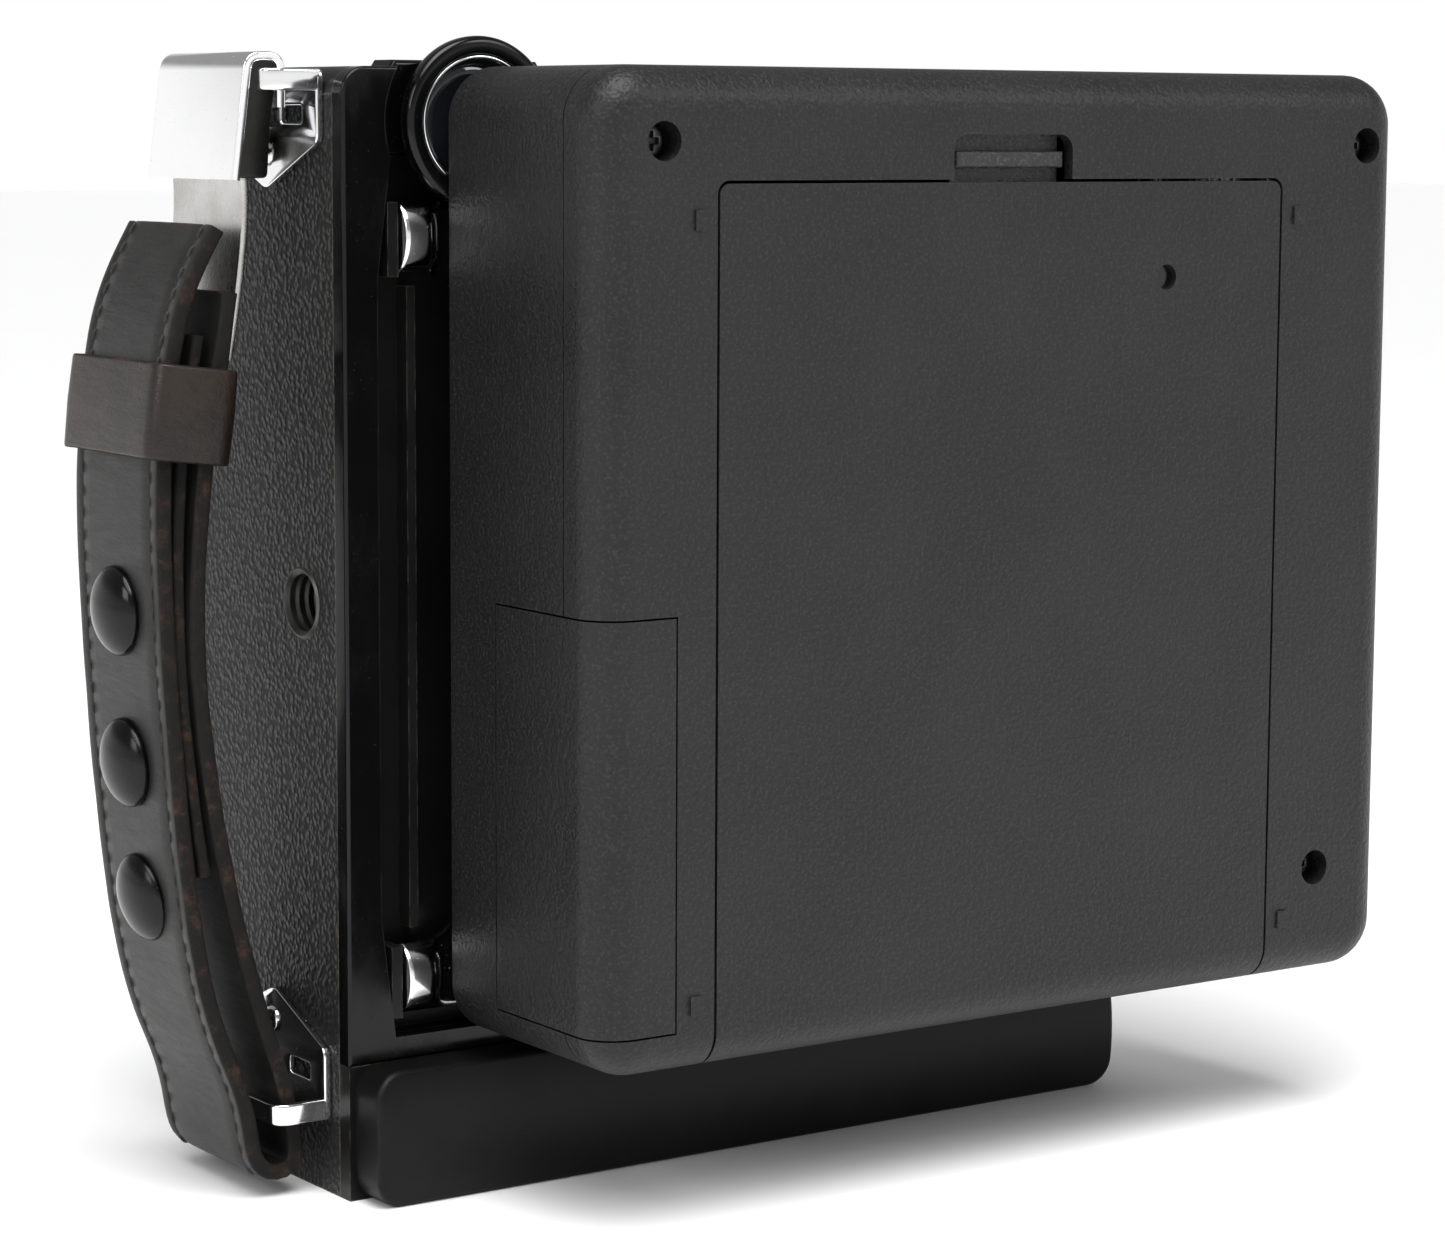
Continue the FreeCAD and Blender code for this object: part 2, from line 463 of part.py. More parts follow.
def standard_and_lens():
    """The front standard, shutter, rings, barrel and glasses."""
    plate = box("standard_blank", ("axis_x - standard_width/2", "axis_x + standard_width/2"),
                ("board_rear", "standard_rear"),
                ("axis_z - standard_height/2", "axis_z + standard_height/2"))
    plate = rounded("standard_cornered", plate, 6.0, lambda edge: along(edge, "y"))
    board = box("board_blank", ("axis_x - board_side/2", "axis_x + board_side/2"),
                ("board_front", "board_rear"), ("axis_z - board_side/2", "axis_z + board_side/2"))
    board = rounded("board_cornered", board, 3.0, lambda edge: along(edge, "y"))
    hole = rod("board_hole", "y", ("axis_x", "board_front - 1", "axis_z"), "rear_cell_r",
               "board_thick + standard_thick + 2")
    keep(cut("front_standard", join("standard_stepped", plate, board), hole))
    on_axis = lambda y: ("axis_x", y, "axis_z")
    keep(turned("shutter_housing", "y", on_axis("board_front"), [
        ("rear_glass_r", "rear_cell_deep"), ("rear_cell_r", "rear_cell_deep"), ("rear_cell_r", "0"),
        ("shutter_r", "0"), ("shutter_r", "2 - shutter_deep"), ("shutter_r - 2", "-shutter_deep"),
        ("barrel_r", "-shutter_deep"), ("barrel_r", "-6"), ("rear_glass_r", "-6")]))
    keep(turned("lens_barrel", "y", on_axis("shutter_front"), [
        ("glass_r", "4"), ("barrel_r", "4"), ("barrel_r", "1 - barrel_deep"),
        ("barrel_r - 1", "-barrel_deep"), ("glass_r + 1", "-barrel_deep"), ("glass_r", "2 - barrel_deep")]))
    keep(turned("front_glass", "y", on_axis("barrel_front + 2.4"), [
        ("0", "-1.2"), ("glass_r*0.6", "-0.6"), ("glass_r", "0.4"), ("glass_r", "glass_thick"),
        ("0", "glass_thick")]))
    keep(turned("aperture_ring", "y", on_axis("shutter_front - 0.3"), [
        ("barrel_r + 0.35", "0"), ("aperture_r", "0"), ("aperture_r", "0.5 - aperture_thick"),
        ("aperture_r - 0.5", "-aperture_thick"), ("barrel_r + 0.35", "-aperture_thick")]))
    keep(rod("rear_glass", "y", on_axis("board_front"), "rear_glass_r", "glass_thick"))
    ring = rod("lever_ring", "y", on_axis("board_front - shutter_deep*0.6"), "shutter_r + 1.8", "2")
    inside = rod("lever_inside", "y", on_axis("board_front - shutter_deep"), "shutter_r + 0.35",
                 "shutter_deep + 1")
    finger = box("lever_finger", ("axis_x - lever_wide/2", "axis_x + lever_wide/2"),
                 ("board_front - shutter_deep*0.6", "board_front - shutter_deep*0.6 + 2"),
                 ("axis_z + shutter_r + 1", "axis_z + shutter_r + lever_long*0.6"))
    keep(cut("shutter_lever", join("lever_blank", ring, finger), inside))
    outer = box("bellows_outer", ("axis_x - bellows_width/2", "axis_x + bellows_width/2"),
                ("standard_rear + 0.5", "web_front"),
                ("axis_z - bellows_height/2", "axis_z + bellows_height/2"))
    inner = box("bellows_inner", ("axis_x - bellows_width/2 + bellows_wall",
                                  "axis_x + bellows_width/2 - bellows_wall"),
                ("standard_rear - 1", "web_front + 1"),
                ("axis_z - bellows_height/2 + bellows_wall", "axis_z + bellows_height/2 - bellows_wall"))
    keep(cut("bellows", outer, inner))


def finder():
    """The eyepiece behind and the windows and mirrors of the combined finder."""
    boss = rod("eye_boss_round", "y", ("eye_x", "web_front + 1", "eye_z"), "boss_r",
               "boss_front - web_front - 1")
    slab = box("eye_boss_slab", ("eye_x - boss_r", "eye_x + boss_r"), ("web_front", "boss_front + 1"),
               ("body_height - frame_top_band", "body_height + boss_proud"))
    shaped = rounded("eye_boss_shaped", common("eye_boss_common", boss, slab), 0.8,
                     lambda edge: at(edge, "y", val("boss_front")))
    keep(cut("eyepiece_boss", shaped, rod("eye_boss_bore", "y", ("eye_x", "web_front - 1", "eye_z"),
                                          "eye_bore_r", "20")))
    seat = "boss_front - eye_base"
    keep(turned("eyepiece_ring", "y", ("eye_x", "eye_base", "eye_z"), [
        ("eye_chrome_r", seat), ("eye_neck_r", seat), ("eye_neck_r", "0"), ("eye_r - 1.2", "0"),
        ("eye_r - 0.35", "0.4"), ("eye_r", "eye_deep/2"), ("eye_r - 0.35", "eye_deep - 0.4"),
        ("eye_r - 1.2", "eye_deep"), ("eye_chrome_r + 0.9", "eye_deep"),
        ("eye_chrome_r", "eye_deep - 0.6")]))
    keep(turned("eyepiece_bezel", "y", ("eye_x", "eye_base", "eye_z"), [
        ("eye_lens_r", seat), ("eye_chrome_r", seat), ("eye_chrome_r", "eye_deep - 0.6"),
        ("eye_lens_r", "eye_deep - 1.6")]))
    keep(rod("eyepiece_lens", "y", ("eye_x", "eye_base - 1", "eye_z"), "eye_lens_r", "1.8"))
    high = ("finder_floor + 1", "finder_floor + finder_high - 1")
    pane = ("front + 0.3", "front + 0.3 + window_thick")
    main_pane = box("finder_pane", ("eye_x - finder_wide/2 + 1", "eye_x + finder_wide/2 - 1"), pane, high)
    range_pane = box("range_pane", ("range_x - range_window/2", "range_x + range_window/2"), pane, high)
    keep(group("finder_windows", main_pane, range_pane))
    mirrors = []
    for label, x in (("beam_splitter", "eye_x"), ("range_mirror", "range_x")):
        glass = box(label, ("0", "12"), ("0", "1.2"), ("0", "finder_high - 2"))
        glass.Placement = Placement(Vector(), Rotation(Vector(0, 0, 1), 45))
        bind(glass, "Placement.Base.x", f"{x} - 4")
        bind(glass, "Placement.Base.y", "shell_front + 12")
        bind(glass, "Placement.Base.z", "finder_floor")
        mirrors.append(glass)
    keep(group("finder_mirrors", *mirrors))


def buttons():
    """The shutter release and the bed catch, both pressed straight in from the front."""
    keep(turned("release_button", "y", ("side - release_in", "front", "release_rise"), [
        ("0", "-release_proud"), ("release_r - 1", "-release_proud"), ("release_r", "1 - release_proud"),
        ("release_r", "front_plate + 0.4"), ("release_r + 1.5", "front_plate + 0.4"),
        ("release_r + 1.5", "front_plate + 1.6"), ("0", "front_plate + 1.6")]))
    keep(turned("bed_catch", "y", ("axis_x - catch_x", "front", "body_height - catch_rise"), [
        ("0", "-catch_proud"), ("catch_r - 0.6", "-catch_proud"), ("catch_r", "0.6 - catch_proud"),
        ("catch_r", "front_plate + catch_deep - 2.5"), ("0", "front_plate + catch_deep - 2.5")]))


def tripod_bushes():
    """The threaded bushes in the strap side and in the base, each with a closed inner end."""
    profile = [("0", "0"), ("bush_r", "0"), ("bush_r", "bush_deep"), ("bush_bore_r", "bush_deep"),
               ("bush_bore_r", "bush_floor"), ("0", "bush_floor")]
    side_bush = turned("side_bush", "x", ("side - bush_deep + bush_proud", "bush_y", "bush_rise"), profile)
    down = [(radius, f"-({place})") for radius, place in profile]
    base_bush = turned("base_bush", "z", ("axis_x", "0", "bush_deep"), down)
    keep(group("tripod_bushes", side_bush, base_bush))


# ---------------------------------------------------------------- strap and its fittings
def lugs():
    """The two chrome lugs on the strap side: a pointed plate with a flat bar loop, mirrored."""
    for label, bar, down in (("strap_lug_upper", "lug_high", "-"), ("strap_lug_lower", "lug_low", "+")):
        half = "lug_wide/2"
        bar_edge = f"{bar} - ({down}1)*lug_bar/2"
        shoulder = f"{bar} {down} lug_shoulder"
        plate = prism(label + "_plate", "YZ", [
            (f"lug_y + {half}", bar_edge), (f"lug_y + {half}", shoulder),
            ("lug_y", f"{bar} {down} lug_apex"), (f"lug_y - {half}", shoulder),
            (f"lug_y - {half}", bar_edge)], "side", "lug_plate")
        reach = "(strap_width/2 + 1 + lug_metal)"
        loop = box(label + "_loop", ("side + lug_plate - 0.2", "bar_outer"),
                   (f"lug_y - {reach}", f"lug_y + {reach}"), (f"{bar} - lug_bar/2", f"{bar} + lug_bar/2"))
        loop = rounded(label + "_bent", loop, 1.2,
                       lambda edge: along(edge, "z") and at(edge, "x", val("bar_outer")))
        gap = box(label + "_gap", ("side + lug_plate", "bar_outer - lug_metal"),
                  ("lug_y - strap_width/2 - 1", "lug_y + strap_width/2 + 1"),
                  (f"{bar} - lug_bar", f"{bar} + lug_bar"))
        slot = box(label + "_slot", ("side - 1", "side + lug_plate + 1"), ("lug_y + 5", "lug_y + 11.5"),
                   (f"{bar} {down} 5 - 1.3", f"{bar} {down} 5 + 1.3"))
        keep(cut(label, join(label + "_solid", plate, cut(label + "_strip", loop, gap)), slot))
    heads = []
    for n, (bar, down) in enumerate((("lug_high", "-"), ("lug_low", "+"))):
        for m, (y, z) in enumerate((("lug_y - 8", f"{bar} {down} 6"), ("lug_y", f"{bar} {down} 11"))):
            heads.append(turned(f"lug_screw_{n}{m}", "x", ("side + lug_plate", y, z), [
                ("0", "0"), ("1.9", "0"), ("1.7", "0.5"), ("0.9", "0.9"), ("0", "1")]))
    keep(group("lug_screws", *heads))


def hook():
    """The chrome hook plate over the upper bar, and the tongue that hangs from it."""
    inner = [("bar_outer + 2.8", "lug_high - 14.5"), ("bar_outer + 0.7", "lug_high + 2.2"),
             ("bar_outer + 0.2", "lug_high + 2.6"), ("bar_outer - 2.9", "lug_high + 2.6"),
             ("bar_outer - 3.3", "lug_high + 2.1"), ("bar_outer - 3.3", "lug_high - 4")]
    outer = [("bar_outer - 3.3 - hook_metal", "lug_high - 4"),
             ("bar_outer - 3.3 - hook_metal", "lug_high + 2.6"),
             ("bar_outer - 3.4", "lug_high + 2.6 + hook_metal"),
             ("bar_outer + 0.7", "lug_high + 2.6 + hook_metal"),
             ("bar_outer + 0.9 + hook_metal", "lug_high + 2.2"),
             ("bar_outer + 2.8 + hook_metal", "lug_high - 14.5")]
    keep(prism("strap_hook", "XZ", inner + outer, "lug_y - strap_width/2", "strap_width"))


def spline(points):
    """A smooth curve through points of (stand-off from the side, height)."""
    curve = Part.BSplineCurve()
    curve.interpolate([Vector(val("side") + out, 0, rise) for out, rise in points])
    return curve


def ribbon(label, points, thick, width, steps=48):
    """A flat band of even thickness that follows a smooth curve, centred on the lugs."""
    curve = spline(points)
    first, last = curve.FirstParameter, curve.LastParameter
    sides = ([], [])
    for n in range(steps + 1):
        t = first + (last - first)*n/steps
        normal = curve.tangent(t)[0].cross(Vector(0, 1, 0))
        for side, sign in zip(sides, (1, -1)):
            side.append(curve.value(t) + normal*(sign*thick/2))
    edges = []
    for side in sides:
        line = Part.BSplineCurve()
        line.interpolate(side)
        edges.append(line.toShape())
    ends = [Part.LineSegment(sides[0][n], sides[1][n]).toShape() for n in (0, -1)]
    face = Part.Face(Part.Wire(Part.__sortEdges__([edges[0], ends[1], edges[1], ends[0]])))
    item = doc.addObject("Part::Feature", label)
    item.Shape = face.extrude(Vector(0, width, 0))
    item.Placement = Placement(Vector(0, val("lug_y") - width/2, 0), Rotation())
    return keep(item)


# Press studs: parts of the height between the lug bars, and their rough stand-off from the side
STUDS = (0.4935, 0.3464, 0.2124)
STUD_STAND = 24.0


def strap():
    """The hand strap: one long band down through the lower bar and back up, with its pad layer."""
    low, span = val("lug_low"), val("lug_high") - val("lug_low")
    rise = lambda part: low + span*part
    inner_run = [(14.0, 0.80), (15.5, 0.74), (17.5, 0.67), (19.4, 0.56), (19.9, 0.47), (18.4, 0.35),
                 (14.6, 0.21), (9.4, 0.085), (5.2, -0.01), (6.0, -0.058), (9.2, -0.058), (12.4, -0.01)]
    outer_run = [(17.2, 0.085), (21.9, 0.24), (24.6, 0.46), (25.1, 0.61), (23.7, 0.725), (20.8, 0.80),
                 (16.0, 0.86)]
    path = [(out, rise(part)) for out, part in inner_run + outer_run]
    ribbon("hand_strap", path, val("strap_thick"), val("strap_width"), 90)
    pad_run = [(18.7, 0.24), (21.1, 0.36), (22.25, 0.47), (22.2, 0.58), (20.6, 0.69), (18.7, 0.76)]
    ribbon("strap_pad", [(out, rise(part)) for out, part in pad_run], val("pad_thick"),
           val("strap_width") - 2, 30)
    tongue = [(10.8, 0.94), (10.2, 0.89), (10.6, 0.845), (11.7, 0.79), (13.2, 0.735)]
    ribbon("strap_tongue", [(out, rise(part)) for out, part in tongue], val("tongue_thick"),
           val("tongue_width"), 16)
    snaps(spline([(out, rise(part)) for out, part in outer_run[:5]]), [rise(part) for part in STUDS])


def snaps(curve, heights):
    """Three domed press studs on the outer run of the strap."""
    radius, dome = val("snap_r"), val("snap_dome")
    ball = (radius**2 + dome**2)/(2*dome)
    studs = []
    for height in heights:
        t = curve.parameter(Vector(val("side") + STUD_STAND, 0, height))
        normal = Vector(0, 1, 0).cross(curve.tangent(t)[0])
        top = curve.value(t) + normal*(val("strap_thick")/2 + 0.3)
        rim = Part.makeCylinder(radius, val("snap_rim"), top, normal)
        cap = Part.makeSphere(ball, top - normal*(ball - dome - val("snap_rim"))).common(
            Part.makeCylinder(radius, dome + 1, top + normal*val("snap_rim"), normal))
        studs.append(rim.fuse(cap).removeSplitter())
    item = doc.addObject("Part::Feature", "strap_snaps")
    item.Shape = Part.makeCompound(studs)
    item.Placement = Placement(Vector(0, val("lug_y"), 0), Rotation())
    keep(item)


def keeper():
    """The leather loop that holds the layers of the strap together."""
    thick, play = "keeper_thick", "keeper_play"
    half_x = f"(keeper_in/2 + {play})"
    half_y = f"(strap_width/2 + {play})"
    outer = box("keeper_outer", (f"-{half_x} - {thick}", f"{half_x} + {thick}"),
                (f"-{half_y} - {thick}", f"{half_y} + {thick}"), ("-keeper_tall/2", "keeper_tall/2"))
    inner = box("keeper_inner", (f"-{half_x}", half_x), (f"-{half_y}", half_y),
                ("-keeper_tall", "keeper_tall"))
    outer = rounded("keeper_soft", outer, 1.3, lambda edge: along(edge, "z"))
    ring = keep(cut("strap_keeper", outer, inner))
    ring.Placement = Placement(Vector(), Rotation(Vector(0, 1, 0), -val("keeper_tilt")))
    bind(ring, "Placement.Base.x", "side + keeper_stand")
    bind(ring, "Placement.Base.y", "lug_y")
    bind(ring, "Placement.Base.z", "lug_low + (lug_high - lug_low)*keeper_part")


# ---------------------------------------------------------------- lock bars and adapter
def locks():
    """Two chrome slide locks with bulged finger tabs, their guides and the recess rib."""
    guides = []
    for label, low in (("slide_lock_upper", "lock_upper"), ("slide_lock_lower", "lock_lower")):
        end, z = "(side - lock_end)", (low, f"{low} + lock_high")
        bar = box(label + "_bar", (f"{end} - lock_long", end), ("lock_y", "lock_y + lock_thick"), z)
        block = box(label + "_block", (f"{end} - lock_tab", end),
                    ("lock_y + lock_thick/2", "lock_y + lock_thick + lock_bulge"), z)
        bulge = rod(label + "_bulge", "x",
                    (f"{end} - lock_tab", "lock_y + lock_thick + lock_bulge - lock_high*0.62",
                     f"{low} + lock_high/2"), "lock_high*0.62", "lock_tab")
        tab = rounded(label + "_tab", common(label + "_curve", block, bulge), 0.6,
                      lambda edge: edge.BoundBox.YMax > val("lock_y") + val("lock_thick") + 1)
        keep(join(label, bar, tab))
        guides.append(box(label + "_guide", (f"{end} + 0.6", f"{end} + 2.4"),
                          ("web_rear", "lock_y + lock_thick + 1"), (f"{low} - 0.5", f"{low} + lock_high")))
        guides.append(box(label + "_rest", (f"{end} - lock_long + 8", f"{end} - 8"),
                          ("web_rear", "lock_y - 0.3"), (f"{low} + 1.5", f"{low} + lock_high - 1.5")))
    guides.append(box("recess_rib", ("side - rib_in", "side - rib_in + rib_wide"),
                      ("web_rear", "web_rear + rib_deep"),
                      ("lock_lower + lock_high + 2", "lock_upper - 2")))
    keep(group("lock_guides", *guides))


def adapter():
    """The light-tight collar between the film web and the instant back."""
    x = "(gate_width/2 + adapter_side)"
    z = "(gate_height/2 + adapter_border)"
    gate = box("adapter_gate", ("axis_x - gate_width/2", "axis_x + gate_width/2"),
               ("web_rear - 1", "back_front + 1"), ("axis_z - gate_height/2", "axis_z + gate_height/2"))
    blank = box("adapter_blank", (f"axis_x - {x}", f"axis_x + {x}"), ("web_rear", "back_front"),
                (f"axis_z - {z}", f"axis_z + {z}"))
    keep(cut("back_adapter", blank, gate))


# ---------------------------------------------------------------- instant film back
def back_corner_edges(edge):
    """The four corner edges of the film back, which run along Y."""
    return along(edge, "y")


def hollow_case():
    """The film back's whole wall before it is parted into shells and doors."""
    outer = box("case_outer", ("back_right", "back_left"), ("back_front", "back_rear"),
                ("back_low", "back_top"))
    outer = rounded("case_cornered", outer, "back_corner", back_corner_edges)
    outer = rounded("case_edged", outer, "back_edge", lambda edge: at(edge, "y", val("back_rear")))
    outer = rounded("case_eased", outer, 1.0, lambda edge: at(edge, "y", val("back_front")))
    inner = box("case_inner", ("back_right + back_wall", "back_left - back_wall"),
                ("back_front + back_wall", "back_rear - back_wall"),
                ("back_low + back_wall", "back_top - back_wall"))
    inner = rounded("case_inner_cornered", inner, val("back_corner") - val("back_wall"), back_corner_edges)
    inner = rounded("case_inner_edged", inner, val("back_edge") - val("back_wall"),
                    lambda edge: at(edge, "y", val("back_rear") - val("back_wall")))
    return cut("case_wall", outer, inner)


def door_tool(label, gap, low_y, radius):
    """The block of space that the film door takes, less a gap all round."""
    block = box(label, (f"door_x0 + {gap}", f"door_x1 - {gap}"), (low_y, "back_rear + 2"),
                ("back_low - 2", f"door_z1 - {gap}"))
    return rounded(label + "_cornered", block, radius,
                   lambda edge: along(edge, "y") and at(edge, "z", number(f"door_z1 - {gap}")))


def cell_tool(label, gap):
    """The block of space that the battery door takes, less a gap all round."""
    return box(label, (f"back_left - cell_left + {gap}", "back_left + 2"),
               (f"back_rear - cell_deep + {gap}", "back_rear + 2"),
               (f"back_low + cell_low + {gap}", f"back_low + cell_low + cell_tall - {gap}"))


# Spots on the film back, on a back of this width and height, and moved in proportion on another
PLAN_WIDE, PLAN_TALL = 152.8, 144.1
SCREWS = ((10.8, 133.5), (144.8, 133.0), (137.2, 17.6))
NUBS = ((16.9, 122.5), (130.3, 122.2), (16.5, 10.1), (130.2, 9.9))


def case_place(x, z):
    """A spot on the film back, measured from its upright strap-side edge and its bottom."""
    return f"back_left - {x}*back_width/{PLAN_WIDE}", f"back_low + {z}*back_height/{PLAN_TALL}"


def back_case(wall):
    """The two moulded shells of the film back."""
    rear_half = box("rear_half", ("back_right - 1", "back_left + 1"), ("seam", "back_rear + 1"),
                    ("back_low - 1", "back_top + 1"))
    front_half = box("front_half", ("back_right - 1", "back_left + 1"),
                     ("back_front - 1", "seam - part_line"),
                     ("back_low - 1", "back_top + 1"))
    door_space = door_tool("door_space", "0", "seam - door_relief", "door_round")
    cell_space = cell_tool("cell_space", "0")
    rear_adds, front_adds, rear_cuts, front_cuts = [], [], [], []
    for n, (x, z) in enumerate(SCREWS):
        cx, cz = case_place(x, z)
        rear_adds.append(rod(f"well_{n}", "y", (cx, "seam", cz), "screw_well_r + 0.6",
                             "back_rear - back_wall/2 - seam"))
        rear_cuts.append(rod(f"well_bore_{n}", "y", (cx, "back_rear - screw_deep", cz), "screw_well_r",
                             "screw_deep + 1"))
        rear_cuts.append(rod(f"well_hole_{n}", "y", (cx, "seam - 1", cz), "1.2", "20"))
        front_adds.append(rod(f"post_{n}", "y", (cx, "back_front + back_wall/2", cz), "screw_well_r + 0.2",
                              "seam - back_front - back_wall/2"))
        front_cuts.append(rod(f"post_hole_{n}", "y", (cx, "seam - 12", cz), "1.2", "13"))
    for n, (x, z) in enumerate(NUBS):
        cx, cz = case_place(x, z)
        rear_adds.append(box(f"nub_{n}", (f"{cx} - nub_wide/2", f"{cx} + nub_wide/2"),
                             ("back_rear - 0.5", "back_rear + nub_proud"),
                             (f"{cz} - nub_tall/2", f"{cz} + nub_tall/2")))
    for n, (start, bridge) in enumerate((("door_x1 - 4.5", "door_x1 - 0.5"), ("door_x0", "door_x0 - 1.5"))):
        rear_adds.append(rod(f"door_ear_{n}", "x", (start, "door_hinge_y", "door_hinge_z"),
                             "door_ear_r", "4.5"))
        rear_adds.append(rod(f"door_ear_root_{n}", "x", (bridge, "door_hinge_y", "door_hinge_z"),
                             "door_ear_r", "2"))
    rear_cuts.append(rod("door_pin_bore", "x", ("door_x0 - 1", "door_hinge_y", "door_hinge_z"),
                         "door_pin_r", "door_width + 2"))
    recess = box("latch_recess", ("back_left - recess_left - recess_width", "back_left - recess_left"),
                 ("back_rear - 4", "back_rear + 1"), ("door_z1 - 1", "door_z1 + recess_height"))
    recess = rounded("latch_recess_soft", recess, 2.4,
                     lambda edge: along(edge, "y") and at(edge, "z", number("door_z1 + recess_height")))
    rear = cut("rear_open", common("rear_wall", wall, rear_half), door_space, cell_space, recess)
    keep(cut("back_case_rear", join("rear_bossed", rear, *rear_adds), *rear_cuts))

    slot = box("exit_slot", ("back_right - 1", "back_right + back_wall + 1"),
               ("film_y", "film_y + slot_wide"), ("axis_z - slot_tall/2", "axis_z + slot_tall/2"))
    gate = box("case_gate", ("axis_x - gate_width/2", "axis_x + gate_width/2"),
               ("back_front - 1", "back_front + back_wall + 1"),
               ("axis_z - gate_height/2", "axis_z + gate_height/2"))
    eject = rod("eject_hole", "x", ("back_right - 1", "eject_y", "back_low + eject_z"),
                "eject_r + 0.3", "back_wall + 2")
    partition = box("cell_partition", ("door_x1 + 0.3", "door_x1 + 1.4"), ("back_front + 1", "seam"),
                    ("back_low + 1", "back_low + cell_low + cell_tall + 4"))
    shelf = box("cell_shelf", ("door_x1 + 0.3", "back_left - 1"), ("back_front + 1", "seam"),
                ("back_low + cell_low + cell_tall + 2.5", "back_low + cell_low + cell_tall + 4"))
    baffle = box("baffle_outer", ("axis_x - image_width/2 - 1.5", "axis_x + image_width/2 + 1.5"),
                 ("back_front + back_wall - 0.5", "film_y - 0.3"),
                 ("axis_z - image_height/2 - 1.5", "axis_z + image_height/2 + 1.5"))
    light_way = box("baffle_inner", ("axis_x - image_width/2", "axis_x + image_width/2"),
                    ("back_front + back_wall", "film_y + 1"),
                    ("axis_z - image_height/2", "axis_z + image_height/2"))
    front = cut("front_open", common("front_wall", wall, front_half), door_space, cell_space, slot, gate,
                eject)
    keep(cut("back_case_front", join("front_bossed", front, partition, shelf, baffle, *front_adds),
             gate, light_way, *front_cuts))

    screws = [turned(f"case_screw_{n}", "y", (case_place(x, z)[0], "back_rear - screw_deep",
                                             case_place(x, z)[1]), [
        ("0", "0.9"), ("1.1", "0.9"), ("1.1", "1.5"), ("screw_r - 0.3", "1.5"), ("screw_r", "1.1"),
        ("screw_r", "0"), ("1.15", "0"), ("1.15", "-14"), ("0", "-15")])
        for n, (x, z) in enumerate(SCREWS)]
    keep(group("case_screws", *screws))


def film_door(wall):
    """The film door, which wraps the bottom edge, with its knuckles, pins, peep window and pads."""
    panel = common("door_panel", wall, door_tool("door_blank", "door_gap", "seam + 0.3", 1.6))
    start_left = "door_x1 - 5 - door_knuckle_long"
    knuckles = [rod(f"door_knuckle_{n}", "x", (start, "door_hinge_y", "door_hinge_z"),
                    "door_knuckle_r", "door_knuckle_long")
                for n, start in enumerate((start_left, "door_x0 + 5"))]
    notches = [box(f"door_notch_{n}", x, ("seam - 2", "door_hinge_y + door_pin_r + 1.5"),
                   ("back_low - 1", "door_hinge_z + door_pin_r + 1.6"))
               for n, x in enumerate((("door_x1 - 5", "door_x1 + 1"), ("door_x0 - 1", "door_x0 + 5")))]
    bore = rod("door_bore", "x", ("door_x0", "door_hinge_y", "door_hinge_z"), "door_pin_r + pin_play",
               "door_width")
    px, pz = case_place("peep_x", "peep_z")
    peep = rod("peep_hole", "y", (px, "back_rear - back_wall - 1", pz), "peep_r", "back_wall + 2")
    keep(cut("film_door", join("door_knuckled", cut("door_notched", panel, *notches), *knuckles), bore, peep))
    keep(rod("peep_window", "y", (px, "back_rear - back_wall", pz), "peep_r", "0.8"))
    pins = [rod(f"door_pin_{n}", "x", (start, "door_hinge_y", "door_hinge_z"), "door_pin_r",
                "door_knuckle_long + 4")
            for n, start in enumerate(("door_x1 - 5 - door_knuckle_long + 0.5", "door_x0 + 0.5"))]
    keep(group("door_hinge_pins", *pins))
    pads = [box(f"pad_{n}", (f"axis_x {side} pad_out - pad_wide/2", f"axis_x {side} pad_out + pad_wide/2"),
                ("film_y + pack_depth + 0.3", "back_rear - back_wall"),
                ("axis_z - pad_tall/2", "axis_z + pad_tall/2"))
            for n, side in enumerate("-+")]
    keep(group("pressure_pads", *pads))


def battery_door(wall):
    """The battery door, which wraps the strap-side rear corner, and the two cells behind it."""
    keep(common("battery_door", wall, cell_tool("cell_blank", "cell_gap")))
    cells = []
    for n, y in enumerate(("cell_y", "cell_y - cell_pitch")):
        can = rod(f"cell_{n}", "z", ("cell_x", y, "cell_z"), "cell_r", "cell_long")
        nose = rod(f"cell_nose_{n}", "z", ("cell_x", y, "cell_z + cell_long - 0.1"), "cell_cap_r",
                   "cell_cap + 0.1")
        cells.append(join(f"cell_whole_{n}", can, nose))
    keep(group("batteries", *cells))
    strips = [box("contact_low", ("cell_x - 5.5", "cell_x + 5.5"),
                  ("cell_y - cell_pitch - 5", "cell_y + 5"), ("cell_z - 1.6", "cell_z - 0.8"))]
    for n, y in enumerate(("cell_y", "cell_y - cell_pitch")):
        strips.append(box(f"contact_high_{n}", ("cell_x - 5.5", "cell_x + 5.5"), (f"{y} - 5", f"{y} + 5"),
                          ("cell_z + cell_long + cell_cap + 0.2", "cell_z + cell_long + cell_cap + 0.8")))
    keep(group("battery_contacts", *strips))


def latch():
    """The sliding latch above the film door: a finger bar on a plate behind the wall."""
    x = ("back_left - recess_left - recess_width + 1.1", "back_left - recess_left - 1.1")
    finger = box("latch_finger", x, ("back_rear - back_wall - 0.5", "back_rear - 0.9"),
                 ("door_z1 + 1.7", "door_z1 + 1.7 + latch_bar"))
    finger = rounded("latch_finger_soft", finger, 0.4, lambda edge: at(edge, "y", val("back_rear") - 0.9))
    plate = box("latch_plate", x, ("back_rear - back_wall - latch_play - latch_thick",
                                   "back_rear - back_wall - latch_play"), ("door_z1 - 3", "door_z1 + 9"))
    keep(join("door_latch", finger, plate))


